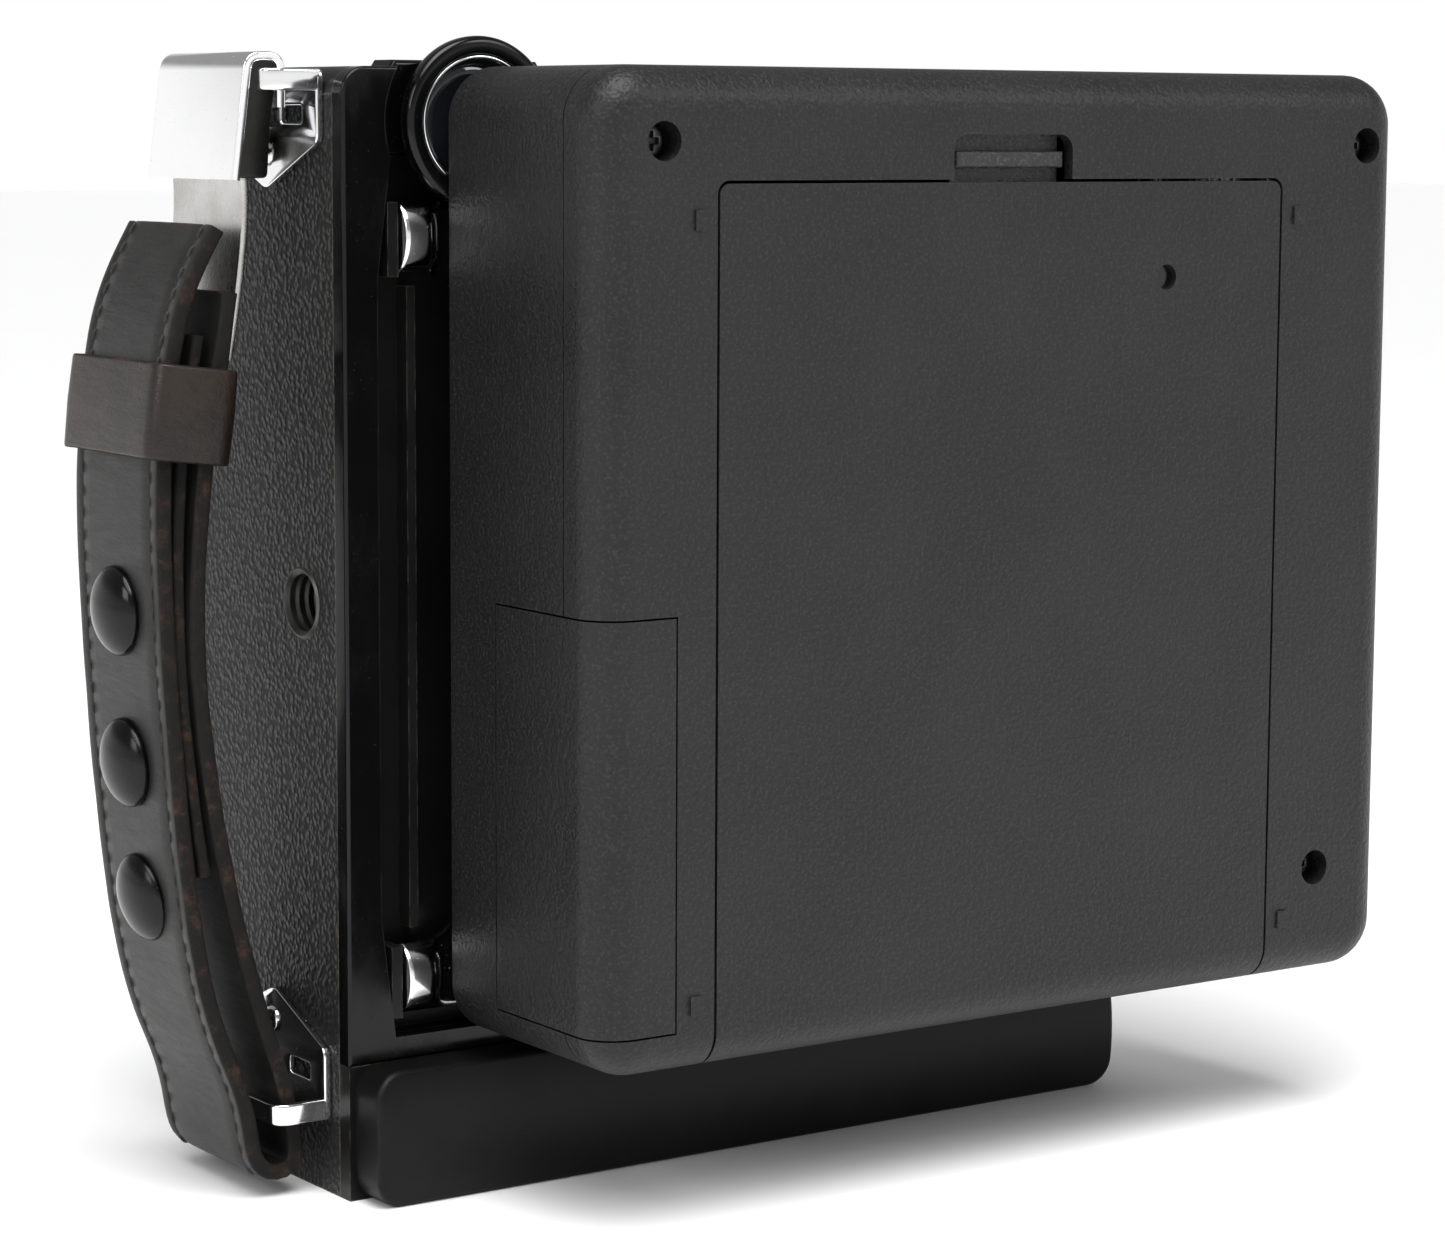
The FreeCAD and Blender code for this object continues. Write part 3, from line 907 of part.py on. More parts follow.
def film_pack():
    """The film cartridge with its picture window, and the stack of film inside it."""
    x, z = "pack_width/2", "pack_height/2"
    blank = box("pack_blank", (f"axis_x - {x}", f"axis_x + {x}"), ("film_y", "film_y + pack_depth"),
                (f"axis_z - {z}", f"axis_z + {z}"))
    blank = rounded("pack_cornered", blank, 2.0, lambda edge: along(edge, "y"))
    space = box("pack_space", (f"axis_x - {x} + pack_wall", f"axis_x + {x} - pack_wall"),
                ("film_y + pack_wall", "film_y + pack_depth - pack_wall"),
                (f"axis_z - {z} + pack_wall", f"axis_z + {z} - pack_wall"))
    window = box("pack_window", ("axis_x - image_width/2", "axis_x + image_width/2"),
                 ("film_y - 1", "film_y + pack_wall + 1"),
                 ("axis_z - image_height/2", "axis_z + image_height/2"))
    mouth = box("pack_mouth", (f"axis_x - {x} - 1", f"axis_x - {x} + pack_wall + 1"),
                ("film_y + pack_wall", "film_y + pack_wall + 1"),
                ("axis_z - film_height/2 - 0.5", "axis_z + film_height/2 + 0.5"))
    keep(cut("film_pack", blank, space, window, mouth))
    keep(box("film_stack", ("axis_x - film_width/2", "axis_x + film_width/2"),
             ("film_y + pack_wall + 0.2", "film_y + pack_wall + 0.2 + film_deep"),
             ("axis_z - film_height/2", "axis_z + film_height/2")))


def gear(label, teeth, bore, phase, centre):
    """A spur gear with thin trapezoid teeth; phase turns it so that it meshes at rest."""
    count, module = int(round(val(teeth))), val("gear_module")
    pitch = module*count/2
    root, tip = pitch - 0.75*module, pitch + 0.7*module
    spots = []
    for n in range(count):
        middle = 2*math.pi*(n + phase)/count
        for radius, half in ((root, 0.8), (tip, 0.3), (tip, -0.3), (root, -0.8)):
            angle = middle - half*module/radius
            spots.append(Vector(radius*math.cos(angle), radius*math.sin(angle), 0))
    face = Part.Face(Part.makePolygon(spots + spots[:1]))
    blank = face.extrude(Vector(0, 0, val("gear_thick")))
    item = doc.addObject("Part::Feature", label)
    item.Shape = blank.cut(Part.makeCylinder(val(bore), val("gear_thick")))
    item.Placement = Placement(Vector(*(number(place) for place in centre)), Rotation())
    return item


def rollers():
    """The developer rollers, their brackets, the gear pair and the motor."""
    ends = [("0", "-bracket_gap - bracket_thick - 0.4"), ("journal_r", "-bracket_gap - bracket_thick - 0.4"),
            ("journal_r", "0"), ("roller_r", "0"), ("roller_r", "roller_long"), ("journal_r", "roller_long")]
    long_end = "roller_long + bracket_gap*2 + bracket_thick + gear_thick"
    short_end = "roller_long + bracket_gap + bracket_thick + 0.4"
    roller = turned("drive_roller_core", "z", ("roll_x", "drive_y", "roll_low"),
                    ends + [("journal_r", long_end), ("0", long_end)])
    keep(turned("pinch_roller", "z", ("roll_x", "pinch_y", "roll_low"),
                ends + [("journal_r", short_end), ("0", short_end)]))
    plates = []
    for n, low in enumerate(("roll_low - bracket_gap - bracket_thick", "roll_top + bracket_gap")):
        plate = box(f"bracket_{n}", ("roll_x - 5.5", "roll_x + 5"), ("back_front + back_wall", "pinch_y + 3"),
                    (low, f"{low} + bracket_thick"))
        holes = [rod(f"bracket_hole_{n}{m}", "z", ("roll_x", y, f"{low} - 1"), "journal_r + pin_play",
                     "bracket_thick + 2") for m, y in enumerate(("drive_y", "pinch_y", "motor_y"))]
        plates.append(cut(f"bracket_plate_{n}", plate, *holes))
    keep(group("roller_brackets", *plates))
    can = rod("motor_can", "z", ("roll_x", "motor_y", "roll_top + bracket_gap - motor_long"), "motor_r",
              "motor_long")
    bore = rod("motor_bore", "z", ("roll_x", "motor_y", "roll_top + bracket_gap - 6"), "motor_shaft_r + 0.15",
               "7")
    keep(cut("drive_motor", can, bore))
    shaft = rod("motor_shaft", "z", ("roll_x", "motor_y", "roll_top + bracket_gap - 5"), "motor_shaft_r",
                "gear_low - (roll_top + bracket_gap) + 5 + gear_thick")
    wheel = gear("drive_gear", "gear_teeth", "journal_r", -val("gear_teeth")/4,
                 ("roll_x", "drive_y", "gear_low"))
    pinion = gear("pinion_gear", "pinion_teeth", "motor_shaft_r", val("pinion_teeth")/4 + 0.5,
                  ("roll_x", "motor_y", "gear_low"))
    keep(join("drive_roller", roller, wheel))
    keep(join("motor_pinion", shaft, pinion))


def controls():
    """The eject button with its circuit board and switch."""
    keep(turned("eject_button", "x", ("back_right", "eject_y", "back_low + eject_z"), [
        ("0", "-eject_proud"), ("eject_r - 0.5", "-eject_proud"), ("eject_r", "0.5 - eject_proud"),
        ("eject_r", "back_wall + 0.4"), ("eject_r + 1", "back_wall + 0.4"),
        ("eject_r + 1", "back_wall + 1.2"), ("0", "back_wall + 1.2")]))
    board_x = "back_right + back_wall + board_wall_gap + 1.5"
    board = box("circuit_blank", (board_x, f"{board_x} + circuit_thick"),
                ("eject_y - circuit_wide/2 + 1.5", "eject_y + circuit_wide/2 + 1.5"),
                ("back_low + eject_z - circuit_tall/2 + 6", "back_low + eject_z + circuit_tall/2 + 6"))
    switch = box("eject_switch", (f"{board_x} - 2", board_x), ("eject_y - 3", "eject_y + 3"),
                 ("back_low + eject_z - 3", "back_low + eject_z + 3"))
    keep(join("circuit_board", board, switch))


# ---------------------------------------------------------------- build, check and write
def main():
    """Build every piece, check them all and write one STEP file for each."""
    body_shell()
    rear_frame()
    base_housing()
    side_panels()
    front_plate()
    bed()
    braces()
    standard_and_lens()
    finder()
    buttons()
    tripod_bushes()
    lugs()
    hook()
    strap()
    keeper()
    locks()
    adapter()
    wall = hollow_case()
    back_case(wall)
    film_door(wall)
    battery_door(wall)
    latch()
    film_pack()
    rollers()
    controls()
    doc.recompute()
    faults = [item.Name for item in doc.Objects if {"Invalid", "Error"} & set(item.State)]
    faults += [item.Label for item in NODES if item.Shape.isNull() or not item.Shape.isValid()]
    if faults:
        raise RuntimeError("failed: " + ", ".join(faults))
    os.makedirs("parts", exist_ok=True)
    for item in NODES:
        item.Shape.exportStep(os.path.join("parts", item.Label + ".step"))
        print(f"{item.Label:22s} {len(item.Shape.Solids)} solid(s) {item.Shape.Volume:10.1f} mm3")
    print(len(NODES), "nodes")


main()
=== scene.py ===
"""The looks of a folding press camera with an instant film back and a leather hand strap.

Every piece made here but the bellows rides on a body of the frame, and each stands in for the
plain solid that it replaces. The frame's other solids are shown as they are, each with its finish.
"""
import math
import bmesh
import bpy
import numpy as np
from mathutils import Matrix, Quaternion, Vector, noise


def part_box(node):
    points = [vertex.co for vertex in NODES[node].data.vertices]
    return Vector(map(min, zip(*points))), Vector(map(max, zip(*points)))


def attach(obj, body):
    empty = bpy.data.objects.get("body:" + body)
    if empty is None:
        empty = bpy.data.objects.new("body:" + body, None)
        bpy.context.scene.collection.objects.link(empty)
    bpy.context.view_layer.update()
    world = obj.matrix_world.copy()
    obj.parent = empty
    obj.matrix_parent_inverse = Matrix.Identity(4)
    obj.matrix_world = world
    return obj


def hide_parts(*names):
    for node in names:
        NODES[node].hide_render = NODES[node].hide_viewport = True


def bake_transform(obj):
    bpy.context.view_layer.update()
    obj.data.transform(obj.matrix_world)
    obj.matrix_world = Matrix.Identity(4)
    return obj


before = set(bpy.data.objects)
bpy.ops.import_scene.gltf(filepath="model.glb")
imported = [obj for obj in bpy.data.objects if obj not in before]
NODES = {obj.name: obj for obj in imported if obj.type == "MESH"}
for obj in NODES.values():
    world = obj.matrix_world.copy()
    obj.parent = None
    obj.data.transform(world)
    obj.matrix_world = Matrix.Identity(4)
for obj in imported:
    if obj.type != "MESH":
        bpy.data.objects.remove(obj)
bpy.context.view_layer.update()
MM = 0.001
CAMERA = "camera_body"


# ---------------------------------------------------------------- shader arithmetic
class Wire:
    """A socket whose value takes part in arithmetic: each operator adds its Math node."""

    def __init__(self, finish, socket):
        self.finish = finish
        self.socket = socket

    def maths(self, operation, *values):
        return self.finish.node("ShaderNodeMath", {"operation": operation}, dict(enumerate(values)))

    def __add__(self, other):
        return self.maths("ADD", self, other)

    __radd__ = __add__

    def __sub__(self, other):
        return self.maths("SUBTRACT", self, other)

    def __rsub__(self, other):
        return self.maths("SUBTRACT", other, self)

    def __mul__(self, other):
        return self.maths("MULTIPLY", self, other)

    __rmul__ = __mul__

    def __gt__(self, other):
        return self.maths("GREATER_THAN", self, other)


class Finish:
    """A material under construction, round one Principled shader."""

    def __init__(self, name, **constants):
        self.material = bpy.data.materials.new(name)
        self.material.use_nodes = True
        self.tree = self.material.node_tree
        self.shader = self.tree.nodes["Principled BSDF"]
        self.set(**constants)
        self.spot = self.node("ShaderNodeTexCoord", out="Object")

    def fill(self, socket, value):
        """Give a socket a link or a constant."""
        if isinstance(value, Wire):
            self.tree.links.new(value.socket, socket)
        elif isinstance(value, tuple) and socket.type == "RGBA":
            socket.default_value = (*value, 1)
        else:
            socket.default_value = value

    def node(self, kind, settings=None, sockets=None, out=0):
        """Add a node: its settings first, then the values or links of its sockets."""
        node = self.tree.nodes.new(kind)
        for name, value in (settings or {}).items():
            if name == "stops":
                while len(node.color_ramp.elements) < len(value):
                    node.color_ramp.elements.new(1)
                for stop, (place, colour) in zip(node.color_ramp.elements, value):
                    stop.position = place
                    stop.color = (*colour, 1)
            else:
                setattr(node, name, value)
        for key, value in (sockets or {}).items():
            self.fill(node.inputs[key], value)
        return Wire(self, node.outputs[out])

    def set(self, **values):
        """Set sockets of the shader, named with _ for a space."""
        for name, value in values.items():
            self.fill(self.shader.inputs[name.replace("_", " ")], value)

    def grain(self, size, detail=2.0, roughness=0.5, spot=None):
        """Soft noise whose lumps are about this size."""
        return self.node("ShaderNodeTexNoise", None, {
            "Vector": spot or self.spot, "Scale": 1/size, "Detail": detail, "Roughness": roughness})

    def pebbles(self, size, feature="F1", spot=None):
        """Distance inside round cells of about this size."""
        return self.node("ShaderNodeTexVoronoi", {"feature": feature}, {
            "Vector": spot or self.spot, "Scale": 1/size}, out="Distance")

    def ramp(self, value, low, high, start=0.0, end=1.0):
        """A value that climbs from start to end between two levels, with soft ends."""
        return self.node("ShaderNodeMapRange", {"interpolation_type": "SMOOTHSTEP"}, {
            "Value": value, "From Min": low, "From Max": high, "To Min": start, "To Max": end})

    def tint(self, factor, plain, other):
        """One colour turning into another."""
        return self.node("ShaderNodeMix", {"data_type": "RGBA"}, {
            "Factor": factor, 6: plain, 7: other}, out=2)

    def stretched(self, x, y, z):
        """The object's own place, stretched along each axis."""
        return self.node("ShaderNodeVectorMath", {"operation": "MULTIPLY"}, {0: self.spot, 1: (x, y, z)})

    def axis(self, name):
        """The object's own place along one axis."""
        return self.node("ShaderNodeSeparateXYZ", None, {0: self.spot}, out="XYZ".index(name))

    def edge(self, width):
        """1 on sharp edges and corners, falling to 0 within this width."""
        bent = self.node("ShaderNodeBevel", {"samples": 4}, {"Radius": width})
        true = self.node("ShaderNodeNewGeometry", out="Normal")
        along = self.node("ShaderNodeVectorMath", {"operation": "DOT_PRODUCT"}, {0: bent, 1: true},
                          out="Value")
        return self.ramp(along, 0.995, 0.8)

    def bump(self, height, deep, strength=1.0):
        """Raise the surface by height times deep."""
        self.set(Normal=self.node("ShaderNodeBump", None, {
            "Height": height, "Distance": deep, "Strength": strength}))


# ---------------------------------------------------------------- finishes
def case_plastic(name, tone=1.0):
    """Fine-grained dark grey moulding with faint cloudiness and rubbed edges."""
    f = Finish(name, Specular_IOR_Level=0.30)
    fine = f.grain(0.5*MM, 2.5, 0.6)
    soft = f.grain(24*MM, 3.0)
    pits = f.ramp(f.grain(1.0*MM, 1.0), 0.35, 0.6)
    base = f.tint(f.ramp(soft, 0.3, 0.7), (0.0070*tone, 0.0067*tone, 0.0072*tone),
                  (0.0100*tone, 0.0096*tone, 0.0103*tone))
    speck = f.ramp(fine, 0.50, 0.68)
    base = f.tint(speck*0.6, base, (0.030*tone, 0.029*tone, 0.030*tone))
    rubbed = f.edge(0.35*MM)*f.ramp(f.grain(7*MM, 3.0), 0.35, 0.7)
    f.set(Base_Color=f.tint(rubbed*0.45, base, (0.045, 0.043, 0.042)))
    f.set(Roughness=0.36 + 0.12*fine + 0.05*soft)
    f.bump(fine*0.8 + pits*0.6, 0.075*MM)
    return f.material


def satin_moulding(name):
    """Smooth satin black plastic, handled until it is faintly cloudy."""
    f = Finish(name, Specular_IOR_Level=0.16)
    fine = f.grain(0.3*MM, 2.0)
    cloud = f.grain(16*MM, 4.0, 0.6)
    f.set(Base_Color=f.tint(f.ramp(cloud, 0.35, 0.7), (0.0035, 0.0034, 0.0033), (0.0060, 0.0056, 0.0054)))
    f.set(Roughness=0.36 + 0.12*cloud + 0.04*fine)
    f.bump(fine, 0.012*MM)
    return f.material


def gloss_moulding(name):
    """Glossy black with a little dust and fine rub marks."""
    f = Finish(name, Specular_IOR_Level=0.26)
    dust = f.ramp(f.grain(0.5*MM, 1.0), 0.68, 0.78)
    smear = f.grain(9*MM, 5.0, 0.65, f.stretched(1, 1, 0.35))
    worn = f.edge(0.3*MM)*f.ramp(f.grain(5*MM, 3.0), 0.3, 0.6)
    base = f.tint(dust*0.35, (0.0016, 0.0017, 0.0018), (0.03, 0.029, 0.027))
    f.set(Base_Color=f.tint(worn*0.5, base, (0.06, 0.057, 0.054)))
    f.set(Roughness=0.12 + 0.22*f.ramp(smear, 0.4, 0.75) + 0.2*dust)
    f.bump(smear, 0.01*MM, 0.5)
    return f.material


def enamel(name, tone=1.0):
    """Satin black enamel on metal, with a fine orange-peel skin and brassed edges."""
    f = Finish(name, Specular_IOR_Level=0.25)
    peel = f.grain(0.8*MM, 2.0)
    cloud = f.grain(20*MM, 4.0)
    worn = f.edge(0.3*MM)*f.ramp(f.grain(3*MM, 4.0, 0.65), 0.42, 0.62)
    base = f.tint(f.ramp(cloud, 0.3, 0.7), (0.0026*tone, 0.0026*tone, 0.0028*tone),
                  (0.0050*tone, 0.0048*tone, 0.0047*tone))
    f.set(Base_Color=f.tint(worn*0.7, base, (0.20, 0.18, 0.15)), Metallic=worn*0.5)
    f.set(Roughness=0.3 + 0.15*cloud)
    f.bump(peel, 0.02*MM)
    return f.material


def leatherette(name):
    """Fine pebbled black leatherette: painted shade in the creases, a painted highlight on the pebble tops,
    and a rubbed brown edge.
    """
    f = Finish(name, Specular_IOR_Level=0.34)
    warp = f.grain(2.2*MM, 2.0)
    shifted = f.node("ShaderNodeVectorMath", {"operation": "ADD"}, {
        0: f.spot, 1: f.node("ShaderNodeCombineXYZ", None, {
            "X": warp*0.6*MM, "Y": warp*0.6*MM, "Z": warp*0.4*MM})})
    pebble = f.ramp(f.pebbles(0.85*MM, "SMOOTH_F1", shifted), 0.62, 0.12)
    fine = f.grain(0.35*MM, 2.0)
    cloud = f.grain(26*MM, 3.0)
    # Painted light: the creases between the pebbles are coloured darker as painted shade, and the pebble tops
    # lighter as a painted highlight.
    base = f.tint(pebble, (0.0025, 0.0024, 0.0023), (0.0080, 0.0076, 0.0072))
    # A further painted highlight: the pebble tops are coloured lighter again in soft patches.
    base = f.tint(f.ramp(cloud, 0.45, 0.8)*pebble*0.6, base, (0.018, 0.017, 0.0155))
    rubbed = f.edge(0.6*MM)*f.ramp(f.grain(2.5*MM, 4.0, 0.7), 0.35, 0.55)
    f.set(Base_Color=f.tint(rubbed*0.8, base, (0.13, 0.105, 0.078)))
    f.set(Roughness=0.36 + 0.20*(1 - pebble) + 0.08*fine)
    f.bump(pebble + fine*0.2, 0.17*MM)
    return f.material


def strap_leather(name, brown=0.0, rough=0.27):
    """Smooth strap leather, creased across its run and burnished by the hand."""
    f = Finish(name, Specular_IOR_Level=0.34)
    pores = f.grain(0.3*MM, 2.5, 0.6)
    creases = f.grain(2.4*MM, 4.0, 0.65, f.stretched(1, 0.3, 1.4))
    cloud = f.grain(14*MM, 4.0, 0.6)
    worn = f.edge(0.7*MM)*f.ramp(f.grain(1.6*MM, 5.0, 0.7), 0.4, 0.6)
    scuff = f.ramp(f.grain(5*MM, 6.0, 0.7), 0.62, 0.72)
    plain = f.tint(brown, (0.0048, 0.0046, 0.0044), (0.0085, 0.0052, 0.0040))
    faded = f.tint(brown, (0.0130, 0.0124, 0.0118), (0.024, 0.0150, 0.0105))
    base = f.tint(f.ramp(cloud, 0.3, 0.75), plain, faded)
    base = f.tint(scuff*0.35, base, (0.045, 0.030, 0.020))
    f.set(Base_Color=f.tint(worn*0.85, base, (0.14, 0.066, 0.032)))
    f.set(Roughness=rough + 0.2*creases + 0.12*pores)
    f.bump(creases + pores*0.3, 0.16*MM)
    return f.material


def cut_edge(name):
    """The strap's cut edge: fibrous, with its black dressing worn through to brown."""
    f = Finish(name, Specular_IOR_Level=0.25)
    fibre = f.grain(0.35*MM, 4.0, 0.7, f.stretched(2.2, 0.6, 1))
    bare = f.ramp(f.grain(3.2*MM, 5.0, 0.7), 0.50, 0.72)
    base = f.tint(bare, (0.0050, 0.0042, 0.0038), (0.040, 0.020, 0.011))
    f.set(Base_Color=f.tint(f.ramp(fibre, 0.55, 0.8)*bare, base, (0.15, 0.075, 0.036)))
    f.set(Roughness=0.62 + 0.2*fibre)
    f.bump(fibre, 0.22*MM)
    return f.material


def thread(name):
    """Waxed black thread with its twist showing."""
    f = Finish(name, Specular_IOR_Level=0.4)
    twist = f.grain(0.22*MM, 2.0, 0.5, f.stretched(1, 1, 2.5))
    f.set(Base_Color=f.tint(twist, (0.006, 0.0055, 0.005), (0.028, 0.024, 0.021)))
    f.set(Roughness=0.5 + 0.2*twist)
    f.bump(twist, 0.1*MM)
    return f.material


def chrome(name, tone=0.84, rough=0.05):
    """Bright plating with a faint haze, fine wipe marks and dull corners."""
    f = Finish(name, Specular_IOR_Level=0.5)
    haze = f.grain(7*MM, 5.0, 0.65)
    wipes = f.grain(0.6*MM, 3.0, 0.6, f.stretched(0.25, 0.25, 2.2))
    pits = f.ramp(f.grain(0.5*MM, 1.0), 0.74, 0.80)
    f.set(Base_Color=f.tint(pits*0.5, (tone, tone, tone*1.01), (0.16, 0.13, 0.10)), Metallic=1 - pits*0.6)
    f.set(Roughness=rough + 0.09*f.ramp(haze, 0.4, 0.8) + 0.05*wipes)
    f.bump(wipes, 0.004*MM, 0.6)
    return f.material


def steel(name, tone=0.45, rough=0.28, lay=(1, 1, 1)):
    """Ground or plated steel with a directional lay."""
    f = Finish(name, Specular_IOR_Level=0.5, Metallic=1.0)
    lines = f.grain(0.5*MM, 4.0, 0.6, f.stretched(*lay))
    stain = f.grain(9*MM, 4.0)
    f.set(Base_Color=f.tint(f.ramp(stain, 0.35, 0.8), (tone, tone*0.99, tone*0.97),
                            (tone*0.75, tone*0.72, tone*0.68)))
    f.set(Roughness=rough + 0.15*lines)
    f.bump(lines, 0.008*MM)
    return f.material


def anodised(name, tone=0.016):
    """Black anodised alloy, turned, with bright edges."""
    f = Finish(name, Specular_IOR_Level=0.5)
    rings = f.grain(0.4*MM, 3.0, 0.6, f.stretched(0.2, 3, 0.2))
    worn = f.edge(0.25*MM)*f.ramp(f.grain(2*MM, 4.0), 0.45, 0.65)
    f.set(Base_Color=f.tint(worn*0.6, (tone, tone, tone*1.06), (0.36, 0.35, 0.34)), Metallic=worn*0.7)
    f.set(Roughness=0.28 + 0.16*rings)
    f.bump(rings, 0.006*MM)
    return f.material


def lens_glass(name, coat):
    """Ground glass over a dark inside, with a coating's tint and a trace of dust."""
    f = Finish(name, Transmission_Weight=0.35, IOR=1.52, Coat_Weight=0.6, Coat_Tint=coat,
               Coat_Roughness=0.01)
    dust = f.ramp(f.grain(0.6*MM, 1.0), 0.74, 0.82)
    f.set(Base_Color=f.tint(dust*0.4, (0.012, 0.013, 0.016), (0.3, 0.3, 0.29)))
    f.set(Roughness=0.03 + 0.25*dust)
    f.bump(dust, 0.004*MM)
    return f.material


def dark_window(name):
    """A smoked window, nearly black, with a soft smear."""
    f = Finish(name, Specular_IOR_Level=0.5)
    smear = f.grain(1.2*MM, 4.0)
    f.set(Base_Color=f.tint(smear, (0.002, 0.002, 0.002), (0.006, 0.006, 0.007)))
    f.set(Roughness=0.06 + 0.14*smear)
    f.bump(smear, 0.003*MM)
    return f.material


def bellows_cloth(name):
    """Thin black coated cloth with its weave just visible and grey fold tops."""
    f = Finish(name, Specular_IOR_Level=0.35, Sheen_Weight=0.15)
    weave = f.node("ShaderNodeTexWave", {"bands_direction": "X"}, {
        "Vector": f.spot, "Scale": 1/(1.1*MM)})
    woof = f.node("ShaderNodeTexWave", {"bands_direction": "Z"}, {
        "Vector": f.spot, "Scale": 1/(1.1*MM)})
    fade = f.grain(6*MM, 4.0)
    worn = f.edge(0.5*MM)*f.ramp(fade, 0.35, 0.6)
    base = f.tint(f.ramp(fade, 0.3, 0.8), (0.006, 0.006, 0.006), (0.014, 0.013, 0.012))
    f.set(Base_Color=f.tint(worn*0.5, base, (0.06, 0.055, 0.05)))
    f.set(Roughness=0.55 + 0.2*fade)
    f.bump(weave*woof, 0.04*MM)
    return f.material


def painted(name, low, high, rough=0.45, size=6.0):
    """A plain coloured surface with soft blotches and fine pits."""
    f = Finish(name, Specular_IOR_Level=0.4)
    cloud = f.grain(size*MM, 4.0)
    fine = f.grain(0.4*MM, 2.0)
    f.set(Base_Color=f.tint(cloud, low, high))
    f.set(Roughness=rough + 0.15*cloud)
    f.bump(fine, 0.015*MM)
    return f.material


def laminate(name):
    """Green circuit laminate with copper tracks under the mask."""
    f = Finish(name, Specular_IOR_Level=0.5)
    tracks = f.node("ShaderNodeTexWave", {"bands_direction": "Y", "wave_profile": "SAW"}, {
        "Vector": f.spot, "Scale": 1/(5.5*MM), "Distortion": 1.5})
    lanes = f.ramp(tracks, 0.62, 0.66)
    cloud = f.grain(3*MM, 3.0)
    base = f.tint(cloud, (0.006, 0.045, 0.018), (0.012, 0.07, 0.028))
    f.set(Base_Color=f.tint(lanes*0.7, base, (0.05, 0.16, 0.05)))
    f.set(Roughness=0.3 + 0.1*cloud)
    f.bump(lanes, 0.03*MM)
    return f.material


def cell_wrap(name):
    """A plain cell's wrapper: dark below and copper-toned above, with a soft seam of wear."""
    f = Finish(name, Specular_IOR_Level=0.5, Metallic=0.5)
    rub = f.grain(4*MM, 4.0)
    top = f.axis("Z") > 0.072
    base = f.tint(top, (0.012, 0.012, 0.013), (0.32, 0.17, 0.08))
    f.set(Base_Color=f.tint(rub*0.15, base, (0.25, 0.24, 0.23)))
    f.set(Roughness=0.25 + 0.2*rub)
    f.bump(rub, 0.01*MM)
    return f.material


case_grey = case_plastic("case_grey")
latch_grey = case_plastic("latch_grey", 2.6)
housing_black = satin_moulding("housing_black")
frame_gloss = gloss_moulding("frame_gloss")
black_enamel = enamel("black_enamel")
guide_grey = enamel("guide_grey", 2.2)
side_leatherette = leatherette("side_leatherette")
strap_black = strap_leather("strap_black")
keeper_brown = strap_leather("keeper_brown", 0.75, 0.16)
strap_edge = cut_edge("strap_edge")
strap_thread = thread("strap_thread")
bright_chrome = chrome("bright_chrome")
soft_chrome = chrome("soft_chrome", 0.6, 0.12)
plain_steel = steel("plain_steel")
ground_steel = steel("ground_steel", 0.55, 0.2, (2, 2, 0.2))
dark_steel = steel("dark_steel", 0.10, 0.35)
brushed_strip = steel("brushed_strip", 0.62, 0.2, (0.3, 2.5, 0.3))
pinion_brass = steel("pinion_brass", 0.5, 0.25)
turned_black = anodised("turned_black")
coated_glass = lens_glass("coated_glass", (0.75, 0.6, 1.0))
window_glass = lens_glass("window_glass", (0.95, 0.97, 1.0))
peep_dark = dark_window("peep_dark")
fold_cloth = bellows_cloth("fold_cloth")
matt_black = painted("matt_black", (0.004, 0.004, 0.004), (0.008, 0.008, 0.008), 0.6)
pack_black = painted("pack_black", (0.008, 0.008, 0.008), (0.016, 0.016, 0.016), 0.4)
foam_black = painted("foam_black", (0.006, 0.006, 0.006), (0.02, 0.02, 0.02), 0.75, 0.6)
film_white = painted("film_white", (0.62, 0.62, 0.58), (0.72, 0.72, 0.69), 0.3)
silvering = chrome("silvering", 0.92, 0.01)
cell_skin = cell_wrap("cell_skin")
board_green = laminate("board_green")
ring_gloss = gloss_moulding("ring_gloss")
stud_enamel = gloss_moulding("stud_enamel")
lock_chrome = chrome("lock_chrome", 0.80, 0.08)
# The hook takes lit and shaded copies of its chrome: a brighter chrome on its plate as a painted highlight,
# and a near-black steel on its cheeks as painted shade.
hook_chrome_painted_highlight = chrome("hook_chrome_painted_highlight", 0.97, 0.10)
hook_cheek_painted_shade = steel("hook_cheek_painted_shade", 0.035, 0.22)

